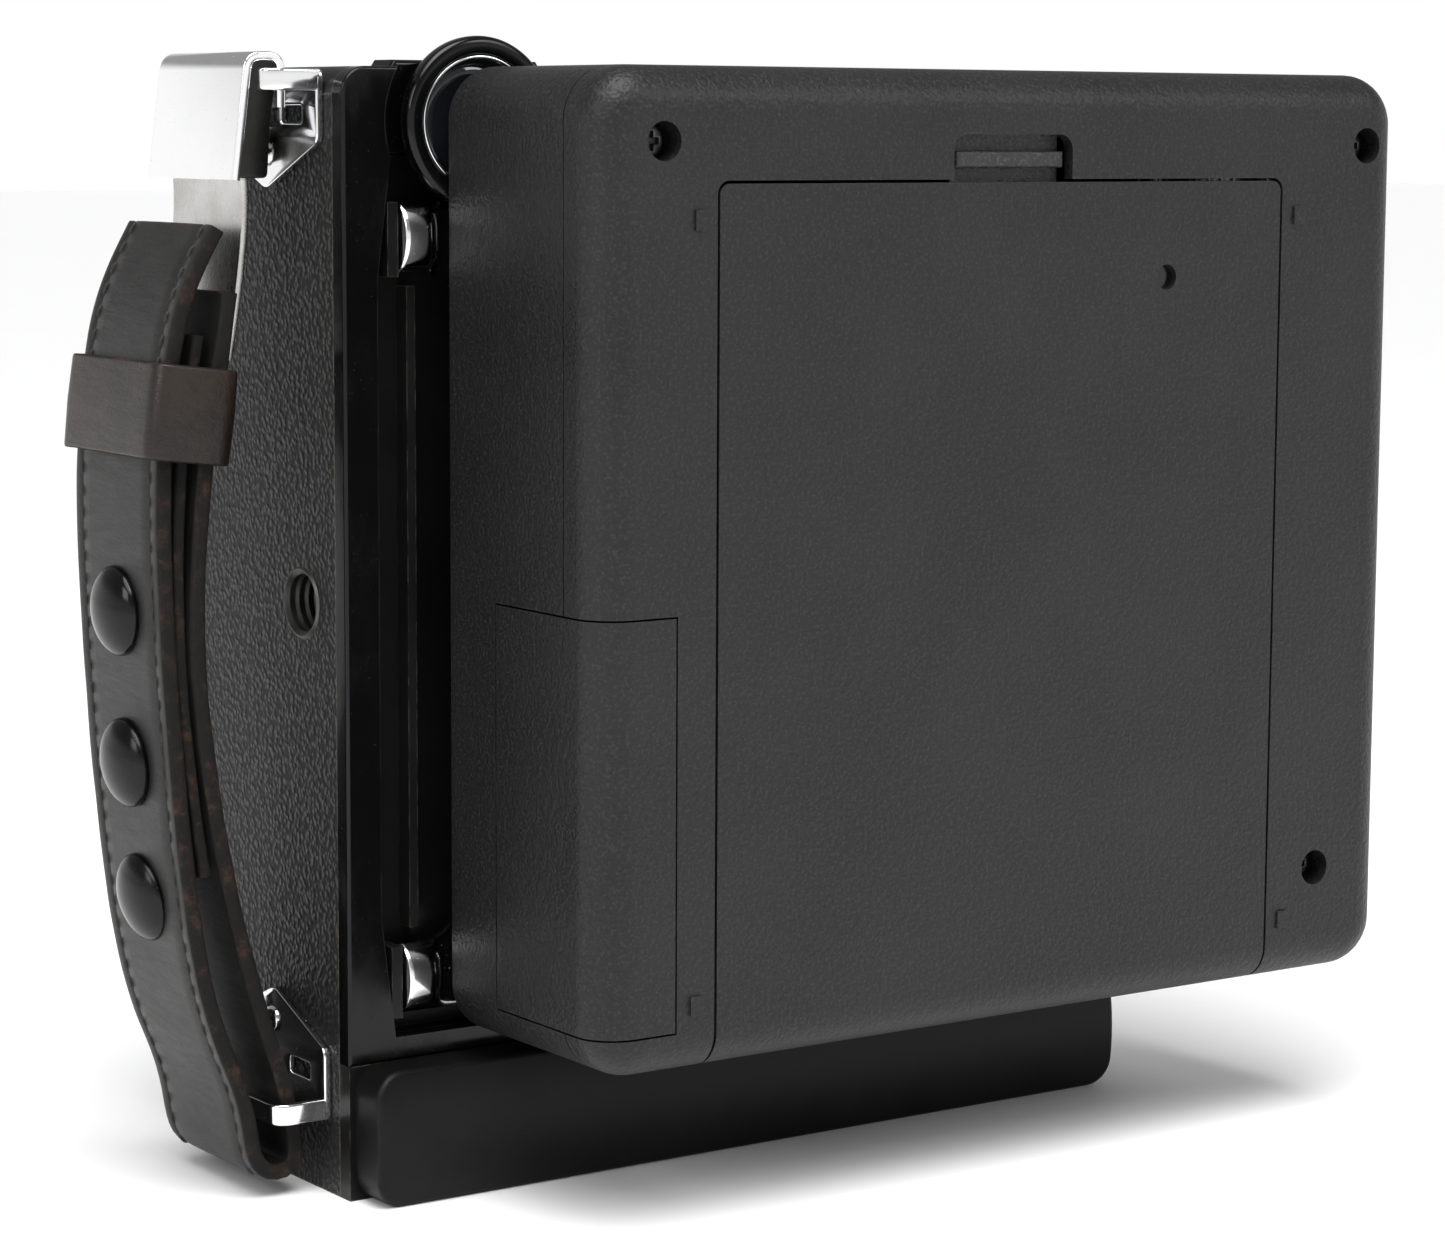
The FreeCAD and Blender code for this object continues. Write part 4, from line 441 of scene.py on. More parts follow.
FINISHES = {
    "aperture_ring": soft_chrome, "back_adapter": matt_black, "back_case_front": case_grey,
    "back_case_rear": case_grey, "base_housing": housing_black, "batteries": cell_skin,
    "battery_contacts": plain_steel, "battery_door": case_grey, "bed_braces": soft_chrome,
    "bed_catch": bright_chrome, "bed_door": black_enamel, "bed_hinge_pin": plain_steel,
    "bed_leatherette": side_leatherette, "bellows": fold_cloth, "body_shell": black_enamel,
    "brace_pins": plain_steel, "case_screws": dark_steel, "circuit_board": board_green,
    "door_hinge_pins": plain_steel, "door_latch": latch_grey, "drive_motor": plain_steel,
    "drive_roller": ground_steel, "eject_button": case_grey, "eyepiece_bezel": bright_chrome,
    "eyepiece_boss": frame_gloss, "eyepiece_lens": window_glass, "eyepiece_ring": frame_gloss,
    "film_door": case_grey, "film_pack": pack_black, "film_stack": film_white,
    "finder_mirrors": silvering, "finder_windows": window_glass, "front_glass": coated_glass,
    "front_plate": black_enamel, "front_standard": black_enamel, "hand_strap": strap_black,
    "lens_barrel": turned_black, "lock_guides": guide_grey, "lug_screws": bright_chrome,
    "motor_pinion": pinion_brass, "peep_window": peep_dark, "pinch_roller": ground_steel,
    "pressure_pads": foam_black, "rear_frame": frame_gloss, "rear_glass": coated_glass,
    "release_button": bright_chrome, "roller_brackets": plain_steel, "shutter_housing": turned_black,
    "shutter_lever": bright_chrome, "side_leatherettes": side_leatherette,
    "slide_lock_lower": bright_chrome, "slide_lock_upper": bright_chrome, "strap_hook": bright_chrome,
    "strap_keeper": keeper_brown, "strap_lug_lower": bright_chrome, "strap_lug_upper": bright_chrome,
    "strap_pad": strap_black, "strap_snaps": frame_gloss, "strap_tongue": brushed_strip,
    "tripod_bushes": dark_steel,
}
for name, finish in FINISHES.items():
    NODES[name].data.materials.clear()
    NODES[name].data.materials.append(finish)


# ---------------------------------------------------------------- mesh building
def eased(points, size, steps=4, closed=True):
    """A polyline with its corners rounded; each corner starts this far from its point."""
    spots = [Vector(p) for p in points]
    out = []
    for n, spot in enumerate(spots):
        if not closed and n in (0, len(spots) - 1):
            out.append(spot)
            continue
        before, after = spots[n - 1] - spot, spots[(n + 1) % len(spots)] - spot
        start = spot + before.normalized()*min(size, before.length*0.45)
        end = spot + after.normalized()*min(size, after.length*0.45)
        for k in range(steps + 1):
            t = k/steps
            out.append(start*(1 - t)**2 + spot*(2*t*(1 - t)) + end*t**2)
    return out


def block_section(width, thick, size, steps=3):
    """A rectangle across u and v with eased corners."""
    u, v = width/2, thick/2
    return eased([(-u, -v), (u, -v), (u, v), (-u, v)], size, steps)


def smooth_run(points, steps):
    """Places and directions along the natural cubic curve through the given points."""
    spots = np.array(points, float)
    knots = np.concatenate([[0], np.cumsum(np.linalg.norm(np.diff(spots, axis=0), axis=1))])
    gaps = np.diff(knots)[:, None]
    slopes = np.diff(spots, axis=0)/gaps
    count = len(spots)
    system, target = np.eye(count), np.zeros_like(spots)
    for n in range(1, count - 1):
        system[n, n - 1:n + 2] = gaps[n - 1, 0], 2*(gaps[n - 1, 0] + gaps[n, 0]), gaps[n, 0]
        target[n] = 6*(slopes[n] - slopes[n - 1])
    bends = np.linalg.solve(system, target)
    places, directions = [], []
    for t in np.linspace(0, knots[-1], steps + 1):
        n = min(int(np.searchsorted(knots, t, side="right")) - 1, count - 2)
        a, b, gap = t - knots[n], knots[n + 1] - t, gaps[n, 0]
        high, low = spots[n + 1]/gap - bends[n + 1]*gap/6, spots[n]/gap - bends[n]*gap/6
        places.append(Vector(bends[n]*b**3/6/gap + bends[n + 1]*a**3/6/gap + low*b + high*a))
        directions.append(Vector(-bends[n]*b**2/2/gap + bends[n + 1]*a**2/2/gap - low + high).normalized())
    return places, directions


class Form:
    """The points and faces of one piece, gathered from turned, swept and flat shapes."""

    def __init__(self):
        self.points, self.faces, self.marks = [], [], []

    def add(self, points, faces, marks=0):
        """Add a shape; marks say which of the piece's finishes its faces take."""
        base = len(self.points)
        self.points += [Vector(p) for p in points]
        self.faces += [[base + corner for corner in face] for face in faces]
        self.marks += [marks]*len(faces) if isinstance(marks, int) else marks
        return self

    def loft(self, rings, closed=False, marks=None):
        """A skin over rings of points, capped at both ends unless the last ring meets the first."""
        size, count = len(rings[0]), len(rings)
        faces, given = [], []
        for r in range(count if closed else count - 1):
            here, there = r*size, (r + 1) % count*size
            for n in range(size):
                m = (n + 1) % size
                faces.append([here + n, here + m, there + m, there + n])
                given.append(marks[n] if marks else 0)
        if not closed:
            faces += [list(range(size))[::-1], list(range((count - 1)*size, count*size))]
            given += [max(marks) if marks else 0]*2
        return self.add([p for ring in rings for p in ring], faces, given)

    def turn(self, profile, centre, axis, steps=72, lobes=0, deep=0.0):
        """A turned shape: a closed outline of (radius, distance along the axis).
        An outline point with a third value takes part in lobes grips, cut this deep."""
        lie = Vector(axis).to_track_quat("Z", "Y")
        rings = []
        for k in range(steps):
            angle = 2*math.pi*k/steps
            dip = deep*(0.5 - 0.5*math.cos(lobes*angle))
            ring = []
            for spot in profile:
                radius = spot[0] - (dip if len(spot) > 2 else 0)
                ring.append(Vector(centre) + lie @ Vector((radius*math.cos(angle), radius*math.sin(angle),
                                                           spot[1])))
            rings.append(ring)
        return self.loft(rings, closed=True)

    def sweep(self, places, across, out, section, closed=False, marks=None):
        """A section of (across, out) offsets, carried along places with a pair of directions each."""
        rings = [[place + a*spot[0] + o*spot[1] for spot in section]
                 for place, a, o in zip(places, across, out)]
        return self.loft(rings, closed, marks)

    def plate(self, outlines, thick, ease, centre, across, up, mark=0):
        """A flat plate with eased rims: an outer outline, then any holes, in (across, up)."""
        curve = bpy.data.curves.new("outline", "CURVE")
        curve.dimensions, curve.fill_mode = "2D", "BOTH"
        curve.extrude, curve.bevel_depth, curve.bevel_resolution = thick/2 - ease, ease, 2
        curve.offset = -ease
        for outline in outlines:
            spline = curve.splines.new("POLY")
            spline.points.add(len(outline) - 1)
            spline.use_cyclic_u = True
            for point, spot in zip(spline.points, outline):
                point.co = (spot[0], spot[1], 0, 1)
        holder = bpy.data.objects.new("outline", curve)
        mesh = bpy.data.meshes.new_from_object(holder)
        across, up = Vector(across), Vector(up)
        lie = Matrix((across, up, across.cross(up))).transposed()
        points = [Vector(centre) + lie @ v.co for v in mesh.vertices]
        self.add(points, [list(p.vertices) for p in mesh.polygons], mark)
        bpy.data.objects.remove(holder)
        bpy.data.curves.remove(curve)
        bpy.data.meshes.remove(mesh)
        return self

    def make(self, name, finishes, *stands_for, body=CAMERA, crease=38, ride=True):
        """Turn the form into a piece that rides on a body in place of the frame's solids."""
        mesh = bpy.data.meshes.new(name)
        mesh.from_pydata(self.points, [], self.faces)
        for finish in finishes:
            mesh.materials.append(finish)
        mesh.polygons.foreach_set("material_index", self.marks)
        work = bmesh.new()
        work.from_mesh(mesh)
        bmesh.ops.remove_doubles(work, verts=work.verts, dist=2e-7)
        bmesh.ops.recalc_face_normals(work, faces=work.faces)
        work.to_mesh(mesh)
        work.free()
        mesh.shade_smooth()
        mesh.set_sharp_from_angle(angle=math.radians(crease))
        made = bpy.data.objects.new(name, mesh)
        bpy.context.collection.objects.link(made)
        if ride:
            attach(made, body)
        if stands_for:
            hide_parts(*stands_for)
        return made


def circle(radius, steps=40):
    """A round outline."""
    return [(radius*math.cos(2*math.pi*n/steps), radius*math.sin(2*math.pi*n/steps)) for n in range(steps)]


def size_of(node):
    """The size of a frame node's box along each axis."""
    low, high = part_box(node)
    return high - low


def on_axis(node):
    """A frame node's box, and the foot of its front-to-back axis on the plane Y = 0."""
    low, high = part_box(node)
    return low, high, Vector(((low.x + high.x)/2, 0, (low.z + high.z)/2))


def dome(radius, face, rise, steps=10):
    """A bulged face's outline from the axis out to the rim, which stands rise beyond the face."""
    return [(radius*math.sin(a), face + rise*(1 - math.cos(a)))
            for a in (math.pi/2*k/steps for k in range(steps + 1))]


# ---------------------------------------------------------------- strap
X, Y, Z = Vector((1, 0, 0)), Vector((0, 1, 0)), Vector((0, 0, 1))
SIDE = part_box("side_leatherettes")[1].x
STRAP_Y = sum(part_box("hand_strap"), Vector()).y/2
STRAP_WIDE = size_of("hand_strap").y
STRAP_THICK = 2.5*MM
PAD_THICK = 1.8*MM
PAD_IN = 1*MM          # how far the pad's edges lie inside the strap's
TONGUE_WIDE, TONGUE_THICK = 22*MM, 1.2*MM
STITCH_IN = 2.5*MM     # from the strap's edge to its row of stitches
STITCH_PITCH, STITCH_LONG, STITCH_THICK = 3.3*MM, 2.3*MM, 0.3*MM
STUD_TALL, STUD_RIM = 3.3*MM, 0.45*MM
KEEPER_TALL, KEEPER_THICK, KEEPER_TILT = 14*MM, 1.5*MM, 7
KEEPER_STAND, KEEPER_PART = 20.6*MM, 0.686
HOOK_METAL = 1.4*MM
LUG_BAR = 3.2*MM
LUG_METAL = 1.5*MM
LUG_PLATE = 1.2*MM
LOW_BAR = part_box("strap_lug_lower")[0].z + LUG_BAR/2
HIGH_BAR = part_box("strap_lug_upper")[1].z - LUG_BAR/2
BAR_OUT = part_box("strap_lug_upper")[1].x
# Runs: (stand-off from the body's side in mm, part of the height between the lugs' bars)
INNER_RUN = [(14.0, 0.80), (15.5, 0.74), (17.5, 0.67), (19.4, 0.56), (19.9, 0.47), (18.4, 0.35),
             (14.6, 0.21), (9.4, 0.085), (5.2, -0.01), (6.0, -0.058), (9.2, -0.058), (12.4, -0.01)]
OUTER_RUN = [(17.2, 0.085), (21.9, 0.24), (24.6, 0.46), (25.1, 0.61), (23.7, 0.725), (20.8, 0.80),
             (16.0, 0.86)]
PAD_RUN = [(18.7, 0.24), (21.1, 0.36), (22.25, 0.47), (22.2, 0.58), (20.6, 0.69), (18.7, 0.76)]
TONGUE_RUN = [(10.8, 0.94), (10.2, 0.89), (10.6, 0.845), (11.7, 0.79), (13.2, 0.735)]
STUDS = (0.4935, 0.3464, 0.2124)


def strap_height(part):
    """The height at a part of the way from the lower lug's bar to the upper one's."""
    return LOW_BAR + (HIGH_BAR - LOW_BAR)*part


def strap_points(run):
    """A run's places beside the body."""
    return [(SIDE + out*MM, STRAP_Y, strap_height(part)) for out, part in run]


def strap_frame(run, steps):
    """Places along a run, with the band's across and outward directions at each."""
    places, directions = smooth_run(strap_points(run), steps)
    return places, [Y]*len(places), [Y.cross(along) for along in directions]


def leather_section(width, thick, stitched):
    """A band's section: rounded cut edges, a slight crown, and a furrow under each stitch row."""
    u, v = width/2, thick/2
    section = block_section(width, thick, 0.7*MM)
    rows = []
    if stitched:
        for side in (1, -1):
            rows += [Vector((side*(u - STITCH_IN + w*side), v - d)) for w, d in
                     ((0.45*MM, 0), (0, 0.28*MM), (-0.45*MM, 0))]
        crown = [Vector((u*k, v + 0.12*MM*(1 - k*k))) for k in (0.6, 0.3, 0, -0.3, -0.6)]
        section[12:12] = rows[:3] + crown + rows[3:]
    marks = []
    for n, spot in enumerate(section):
        middle = (spot + section[(n + 1) % len(section)])/2
        marks.append(1 if abs(middle.x) > u - 0.35*MM else 0)
    return section, marks


def band(run, steps, width, thick, stitched=False):
    """A leather band along a run, its edges and thickness wandering a little."""
    places, across, out = strap_frame(run, steps)
    section, marks = leather_section(width, thick, stitched)
    rings = []
    for place, a, o in zip(places, across, out):
        sway = 0.16*MM*noise.noise(place*90)
        swell = 1 + 0.07*noise.noise(place*140 + X)
        rings.append([place + a*(spot.x + sway*(1 if spot.x > 0 else -1)) + o*spot.y*swell
                      for spot in section])
    return Form().loft(rings, marks=marks)


def stitch(form, place, along, across, out):
    """One stitch: a short fat thread that dips at both ends."""
    rings = []
    for k in range(7):
        t = k/6*2 - 1
        radius = STITCH_THICK*max(0.15, math.sqrt(max(0.0, 1 - t**4)))
        middle = place + along*(t*STITCH_LONG/2) - out*(t*t*0.22*MM)
        rings.append([middle + across*(radius*math.cos(2*math.pi*n/8)) + out*(radius*math.sin(2*math.pi*n/8))
                      for n in range(8)])
    form.loft(rings)


def strap():
    """The hand strap with its stitching, pad layer, steel tongue and press studs."""
    whole = INNER_RUN + OUTER_RUN
    band(whole, 220, STRAP_WIDE, STRAP_THICK, True).make(
        "hand_strap_leather", (strap_black, strap_edge), "hand_strap", crease=60)
    band(PAD_RUN, 60, STRAP_WIDE - 2*PAD_IN, PAD_THICK).make(
        "strap_pad_leather", (strap_black, strap_edge), "strap_pad", crease=60)
    places, directions = smooth_run(strap_points(whole), 900)
    rows, travelled = Form(), 0.0
    for n in range(1, len(places)):
        travelled += (places[n] - places[n - 1]).length
        if travelled < STITCH_PITCH:
            continue
        travelled -= STITCH_PITCH
        out = Y.cross(directions[n])
        for side in (1, -1):
            spot = places[n] + Y*side*(STRAP_WIDE/2 - STITCH_IN) + out*(STRAP_THICK/2 - 0.02*MM)
            stitch(rows, spot, directions[n], Y, out)
    rows.make("strap_stitching", (strap_thread,))
    places, across, out = strap_frame(TONGUE_RUN, 40)
    Form().sweep(places, across, out, block_section(TONGUE_WIDE, TONGUE_THICK, 0.35*MM)).make(
        "strap_tongue_strip", (brushed_strip,), "strap_tongue", crease=50)
    studs = Form()
    radius = size_of("strap_snaps").y/2
    rim = [(0, -0.3*MM), (radius*0.96, -0.3*MM), (radius, 0), (radius, STUD_RIM)]
    cap = [(radius*math.cos(a), STUD_RIM + (STUD_TALL - STUD_RIM)*math.sin(a)**1.25)
           for a in (math.pi/2*k/14 for k in range(1, 15))]
    places, directions = smooth_run(strap_points(OUTER_RUN), 400)
    for part in STUDS:
        n = min(range(len(places)), key=lambda k: abs(places[k].z - strap_height(part)))
        out = Y.cross(directions[n])
        studs.turn(rim + cap, places[n] + out*(STRAP_THICK/2 + 0.1*MM), out, 64)
    studs.make("press_studs", (stud_enamel,), "strap_snaps", crease=50)


def strap_loop():
    """The leather keeper: a closed loop, tilted with the strap it holds."""
    thick, tall = KEEPER_THICK, KEEPER_TALL
    x, y = 5.3*MM + thick/2, STRAP_WIDE/2 + 0.35*MM + thick/2
    corners = eased([(-x, -y, 0), (x, -y, 0), (x, y, 0), (-x, y, 0)], 2.2*MM, 8)
    ring = []
    for n, corner in enumerate(corners):
        ring.append(corner)
        following = corners[(n + 1) % len(corners)]
        count = int((following - corner).length/(2*MM))
        ring += [corner.lerp(following, k/(count + 1)) for k in range(1, count + 1)]
    tilt = Quaternion(Y, math.radians(-KEEPER_TILT))
    middle = Vector((SIDE + KEEPER_STAND, STRAP_Y, strap_height(KEEPER_PART)))
    section = eased([(-tall/2, -thick/2), (0, -thick/2), (tall/2, -thick/2), (tall/2, thick/2),
                     (0, thick/2 + 0.18*MM), (-tall/2, thick/2)], 0.5*MM, 3)
    places, across, out = [], [], []
    for n, spot in enumerate(ring):
        along = (ring[(n + 1) % len(ring)] - ring[n - 1]).normalized()
        places.append(middle + tilt @ (spot + Z*0.12*MM*noise.noise(spot*150)))
        across.append(tilt @ Z)
        out.append(tilt @ along.cross(Z))
    marks = [1 if abs((section[n] + section[(n + 1) % len(section)]).x)/2 > tall/2 - 0.3*MM else 0
             for n in range(len(section))]
    Form().sweep(places, across, out, section, closed=True, marks=marks).make(
        "strap_keeper_loop", (keeper_brown, strap_edge), "strap_keeper", crease=60)


def headings(path):
    """The direction of an open path at each of its points."""
    last = len(path) - 1
    return [(path[min(n + 1, last)] - path[max(n - 1, 0)]).normalized() for n in range(last + 1)]


def hook():
    """The bright hook plate, folded over the upper bar, with a cheek at each side; the plate's chrome is
    brightened as a painted highlight and the cheeks take a near-black steel as painted shade.
    """
    wide = size_of("strap_hook").y
    run = [(-4.0, -4.0), (-4.0, 3.3), (1.2, 3.3), (3.5, -14.5)]
    spots = [(BAR_OUT + out*MM, STRAP_Y, HIGH_BAR + up*MM) for out, up in run]
    path = eased(spots, 2.0*MM, 8, closed=False)
    form = Form().sweep(path, [Y]*len(path), [along.cross(Y) for along in headings(path)],
                        block_section(wide, HOOK_METAL, 0.35*MM))
    cheek = [(-3.6, 2.9), (1.0, 2.9), (3.1, -14.2), (-1.6, -14.2), (-2.2, -6.0)]
    outline = eased([(out*MM, up*MM) for out, up in cheek], 0.8*MM, 4)
    for side in (1, -1):
        # The cheeks take the near-black steel: painted shade on the folded sheet's sides.
        form.plate([outline], 0.8*MM, 0.15*MM,
                   (BAR_OUT, STRAP_Y + side*(wide/2 - 0.45*MM), HIGH_BAR), X, Z, mark=1)
    form.make("hook_plate", (hook_chrome_painted_highlight, hook_cheek_painted_shade), "strap_hook", crease=50)


def lugs():
    """The chrome lugs: a pointed, slotted plate, a bent flat bar, and two slotted screws each."""
    screws = Form()
    for label, bar, down in (("upper", HIGH_BAR, -1), ("lower", LOW_BAR, 1)):
        node = f"strap_lug_{label}"
        half, edge = size_of(node).y/2, -down*LUG_BAR/2
        outline = eased([(half, edge), (half, down*9*MM), (0, down*16*MM), (-half, down*9*MM),
                         (-half, edge)], 1.2*MM, 5)
        slot = eased([(5*MM, down*3.7*MM), (11.5*MM, down*3.7*MM), (11.5*MM, down*6.3*MM),
                      (5*MM, down*6.3*MM)], 0.6*MM, 3)
        form = Form().plate([outline, slot], LUG_PLATE, 0.25*MM, (SIDE + LUG_PLATE/2, STRAP_Y, bar), Y, Z)
        reach = STRAP_WIDE/2 + 1*MM + LUG_METAL/2
        spots = [(SIDE + LUG_PLATE/2, STRAP_Y + reach, bar), (BAR_OUT - LUG_METAL/2, STRAP_Y + reach, bar),
                 (BAR_OUT - LUG_METAL/2, STRAP_Y - reach, bar), (SIDE + LUG_PLATE/2, STRAP_Y - reach, bar)]
        path = eased(spots, 2.4*MM, 8, closed=False)
        form.sweep(path, [Z]*len(path), [along.cross(Z) for along in headings(path)],
                   block_section(LUG_BAR, LUG_METAL, 0.4*MM))
        form.make(f"lug_{label}_plate", (bright_chrome,), node, crease=50)
        for y, z in ((-8*MM, down*6*MM), (0, down*11*MM)):
            slotted_head(screws, Vector((SIDE + LUG_PLATE, STRAP_Y + y, bar + z)), X, 1.9*MM, 1.0*MM)
    screws.make("lug_screw_heads", (bright_chrome,), "lug_screws", crease=50)


def slotted_head(form, centre, axis, radius, tall):
    """A domed screw head in two halves, with the driver's slot between them."""
    gap, floor = 0.28*MM, tall*0.35
    form.turn([(0, 0), (radius, 0), (radius, floor), (0, floor)], centre, axis, 32)
    lie = axis.to_track_quat("Z", "Y")
    turned = Quaternion((0, 0, 1), 0.7)
    for side in (1, -1):
        rings = []
        for k in range(7):
            rise = floor + (tall - floor)*math.sin(math.pi/2*k/6)
            reach = radius*math.cos(math.pi/2*k/6*0.75)
            lean = math.asin(min(1, gap/reach))
            ring = [Vector((reach*math.cos(a), side*reach*math.sin(a), rise))
                    for a in (lean + (math.pi - 2*lean)*n/14 for n in range(15))]
            rings.append([centre + lie @ (turned @ spot) for spot in ring])
        form.loft(rings)


# ---------------------------------------------------------------- chrome slide locks
LOCK_THICK, LOCK_FLARE = 1.5*MM, 3.2*MM


def slide_locks():
    """The two lock bars: each ends in a bulged thumb tab and widens where it slides under the back."""
    # Along each bar from its free end: (distance in mm, share of the tab's full bulge)
    stations = [(0, 0.80), (0.25, 0.95), (0.6, 1), (2, 1), (3.4, 0.98), (4.4, 0.86), (5.2, 0.55),
                (5.9, 0.24), (6.6, 0.06), (7.4, 0), (9, 0), (12, 0), (12.6, 0), (66, 0)]
    for label, flare_side in (("upper", -1), ("lower", 1)):
        node = f"slide_lock_{label}"
        low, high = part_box(node)
        plate_top, tall = low.y + LOCK_THICK, high.z - low.z
        curve = 0.62*tall
        rings = []
        for reach, rise in stations:
            flare = LOCK_FLARE*min(1, max(0, (reach - 4.2)/5.5))**2 if reach < 12.5 else 0
            bottom = low.z - (flare if flare_side < 0 else 0) + (0.25*MM if reach == 0 else 0)
            top = high.z + (flare if flare_side > 0 else 0) - (0.25*MM if reach == 0 else 0)
            x = high.x - reach*MM
            ring = [Vector((x, low.y, bottom + 0.2*MM)), Vector((x, low.y, top - 0.2*MM)),
                    Vector((x, low.y + 0.2*MM, top))]
            for k in range(13):
                part = k/12
                sink = curve - math.sqrt(curve**2 - ((part - 0.5)*tall)**2)
                lift = rise*max(0, high.y - plate_top - sink)
                z = high.z - tall*part
                if k in (0, 12):
                    z = top if k == 0 else bottom
                ring.append(Vector((x, plate_top + lift - (0.3*MM if k in (0, 12) else 0), z)))
            ring.append(Vector((x, low.y + 0.2*MM, bottom)))
            rings.append(ring)
        Form().loft(rings).make(f"lock_{label}_bar", (lock_chrome,), node, body=node, crease=55)


# ---------------------------------------------------------------- eyepiece
def eyepiece():
    """The thick gloss ring, the bright inner ring and the domed lens of the finder's eyepiece."""
    low, high, centre = on_axis("eyepiece_ring")
    seat, base, face = low.y, low.y + 1.6*MM, high.y
    radius, inner = (high.x - low.x)/2, 9.8*MM
    outline = eased([(inner, seat), (11*MM, seat), (11*MM, base), (radius, base), (radius, face),
                     (inner, face)], 1.25*MM, 7)
    Form().turn(outline, centre, Y, 96).make("eyepiece_gloss_ring", (ring_gloss,), "eyepiece_ring", crease=60)
    lens_r = size_of("eyepiece_lens").x/2
    outline = eased([(lens_r, seat), (inner, seat), (inner, face - 0.5*MM), (inner - 0.5*MM, face - 0.5*MM),
                     (lens_r, face - 2.2*MM)], 0.3*MM, 4)
    Form().turn(outline, centre, Y, 96).make("eyepiece_bright_ring", (bright_chrome,), "eyepiece_bezel",
                                             crease=50)
    low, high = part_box("eyepiece_lens")
    Form().turn([(0, low.y), (lens_r, low.y)] + dome(lens_r, high.y, -0.6*MM)[::-1], centre, Y, 64).make(
        "eyepiece_dome", (window_glass,), "eyepiece_lens", crease=50)


# ---------------------------------------------------------------- lens, bellows and buttons
def lens_group():
    """The shutter housing, knurled ring, barrel and front glass behind the bed."""
    low, high, centre = on_axis("shutter_housing")
    front, board, back = low.y, low.y + 12*MM, high.y
    body = eased([(12*MM, back), (15*MM, back), (15*MM, board), (28*MM, board), (28*MM, front + 7*MM),
                  (27.4*MM, front + 6.6*MM), (27.4*MM, front + 5.4*MM), (28*MM, front + 5*MM),
                  (28*MM, front + 1.6*MM), (26.4*MM, front), (25.2*MM, front), (24.9*MM, front + 0.4*MM),
                  (24.4*MM, front + 0.4*MM), (24.1*MM, front), (17*MM, front), (17*MM, front + 6*MM),
                  (12*MM, front + 6*MM)], 0.3*MM, 3)
    Form().turn(body, centre, Y, 96).make("shutter_turned", (turned_black,), "shutter_housing",
                                          body="front_standard", crease=45)
    low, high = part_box("lens_barrel")
    glass = size_of("front_glass").x/2
    bore = [(glass, high.y), (17*MM, high.y), (17*MM, low.y + 1*MM), (16.4*MM, low.y), (15.6*MM, low.y)]
    for k in range(5):
        depth = low.y + (0.3 + 0.45*k)*MM
        bore += [(15.3*MM, depth), (15.0*MM, depth + 0.22*MM)]
    bore += [(14.2*MM, low.y + 2.7*MM), (glass, low.y + 3.4*MM)]
    Form().turn(bore, centre, Y, 96).make("lens_barrel_turned", (turned_black,), "lens_barrel",
                                          body="front_standard", crease=30)
    low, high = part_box("front_glass")
    Form().turn(dome(glass, low.y, 1.8*MM, 14) + [(glass, high.y), (0, high.y)], centre, Y, 72).make(
        "front_glass_dome", (coated_glass,), "front_glass", body="front_standard", crease=50)
    low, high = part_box("aperture_ring")
    outer, inner = (high.x - low.x)/2, 17.35*MM
    ring = [(inner, low.y), (outer - 1.6*MM, low.y), (outer - 1.2*MM, low.y + 0.3*MM),
            (outer - 0.3*MM, low.y + 0.35*MM, 1), (outer, low.y + 0.7*MM, 1), (outer, high.y - 0.5*MM, 1),
            (outer - 0.3*MM, high.y - 0.2*MM, 1), (outer - 1.0*MM, high.y), (inner, high.y)]
    Form().turn(ring, centre, Y, 360, lobes=60, deep=0.45*MM).make(
        "aperture_ring_knurled", (soft_chrome,), "aperture_ring", body="aperture_ring", crease=35)


def bellows():
    """Pleated bellows from the film web to the front standard."""
    low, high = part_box("bellows")
    folds, deep, cloth, chamfer = 11, 4.4*MM, 0.35*MM, 7*MM

    def ring(y, inset):
        x0, x1, z0, z1 = low.x + inset, high.x - inset, low.z + inset, high.z - inset
        c = chamfer*(1 - inset/deep*0.35)
        return [Vector((x, y, z)) for x, z in (
            (x0 + c, z0), (x1 - c, z0), (x1, z0 + c), (x1, z1 - c), (x1 - c, z1), (x0 + c, z1),
            (x0, z1 - c), (x0, z0 + c))]
    count = 2*folds
    outer = [ring(high.y + (low.y - high.y)*n/count, deep if n % 2 else 0) for n in range(count + 1)]
    inner = [ring(high.y + (low.y - high.y)*n/count, (deep if n % 2 else 0) + cloth)
             for n in range(count + 1)][::-1]
    made = Form().loft(outer + inner, closed=True).make("bellows_pleats", (fold_cloth,), "bellows",
                                                        crease=20, ride=False)
    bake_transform(made)


# The tripod sockets: 16 threads to the inch, with the radii at the thread's root and crest
BUSH_LONG, THREAD_PITCH = 12*MM, 25.4*MM/16
THREAD_ROOT, THREAD_CREST = 4.76*MM, 4.32*MM


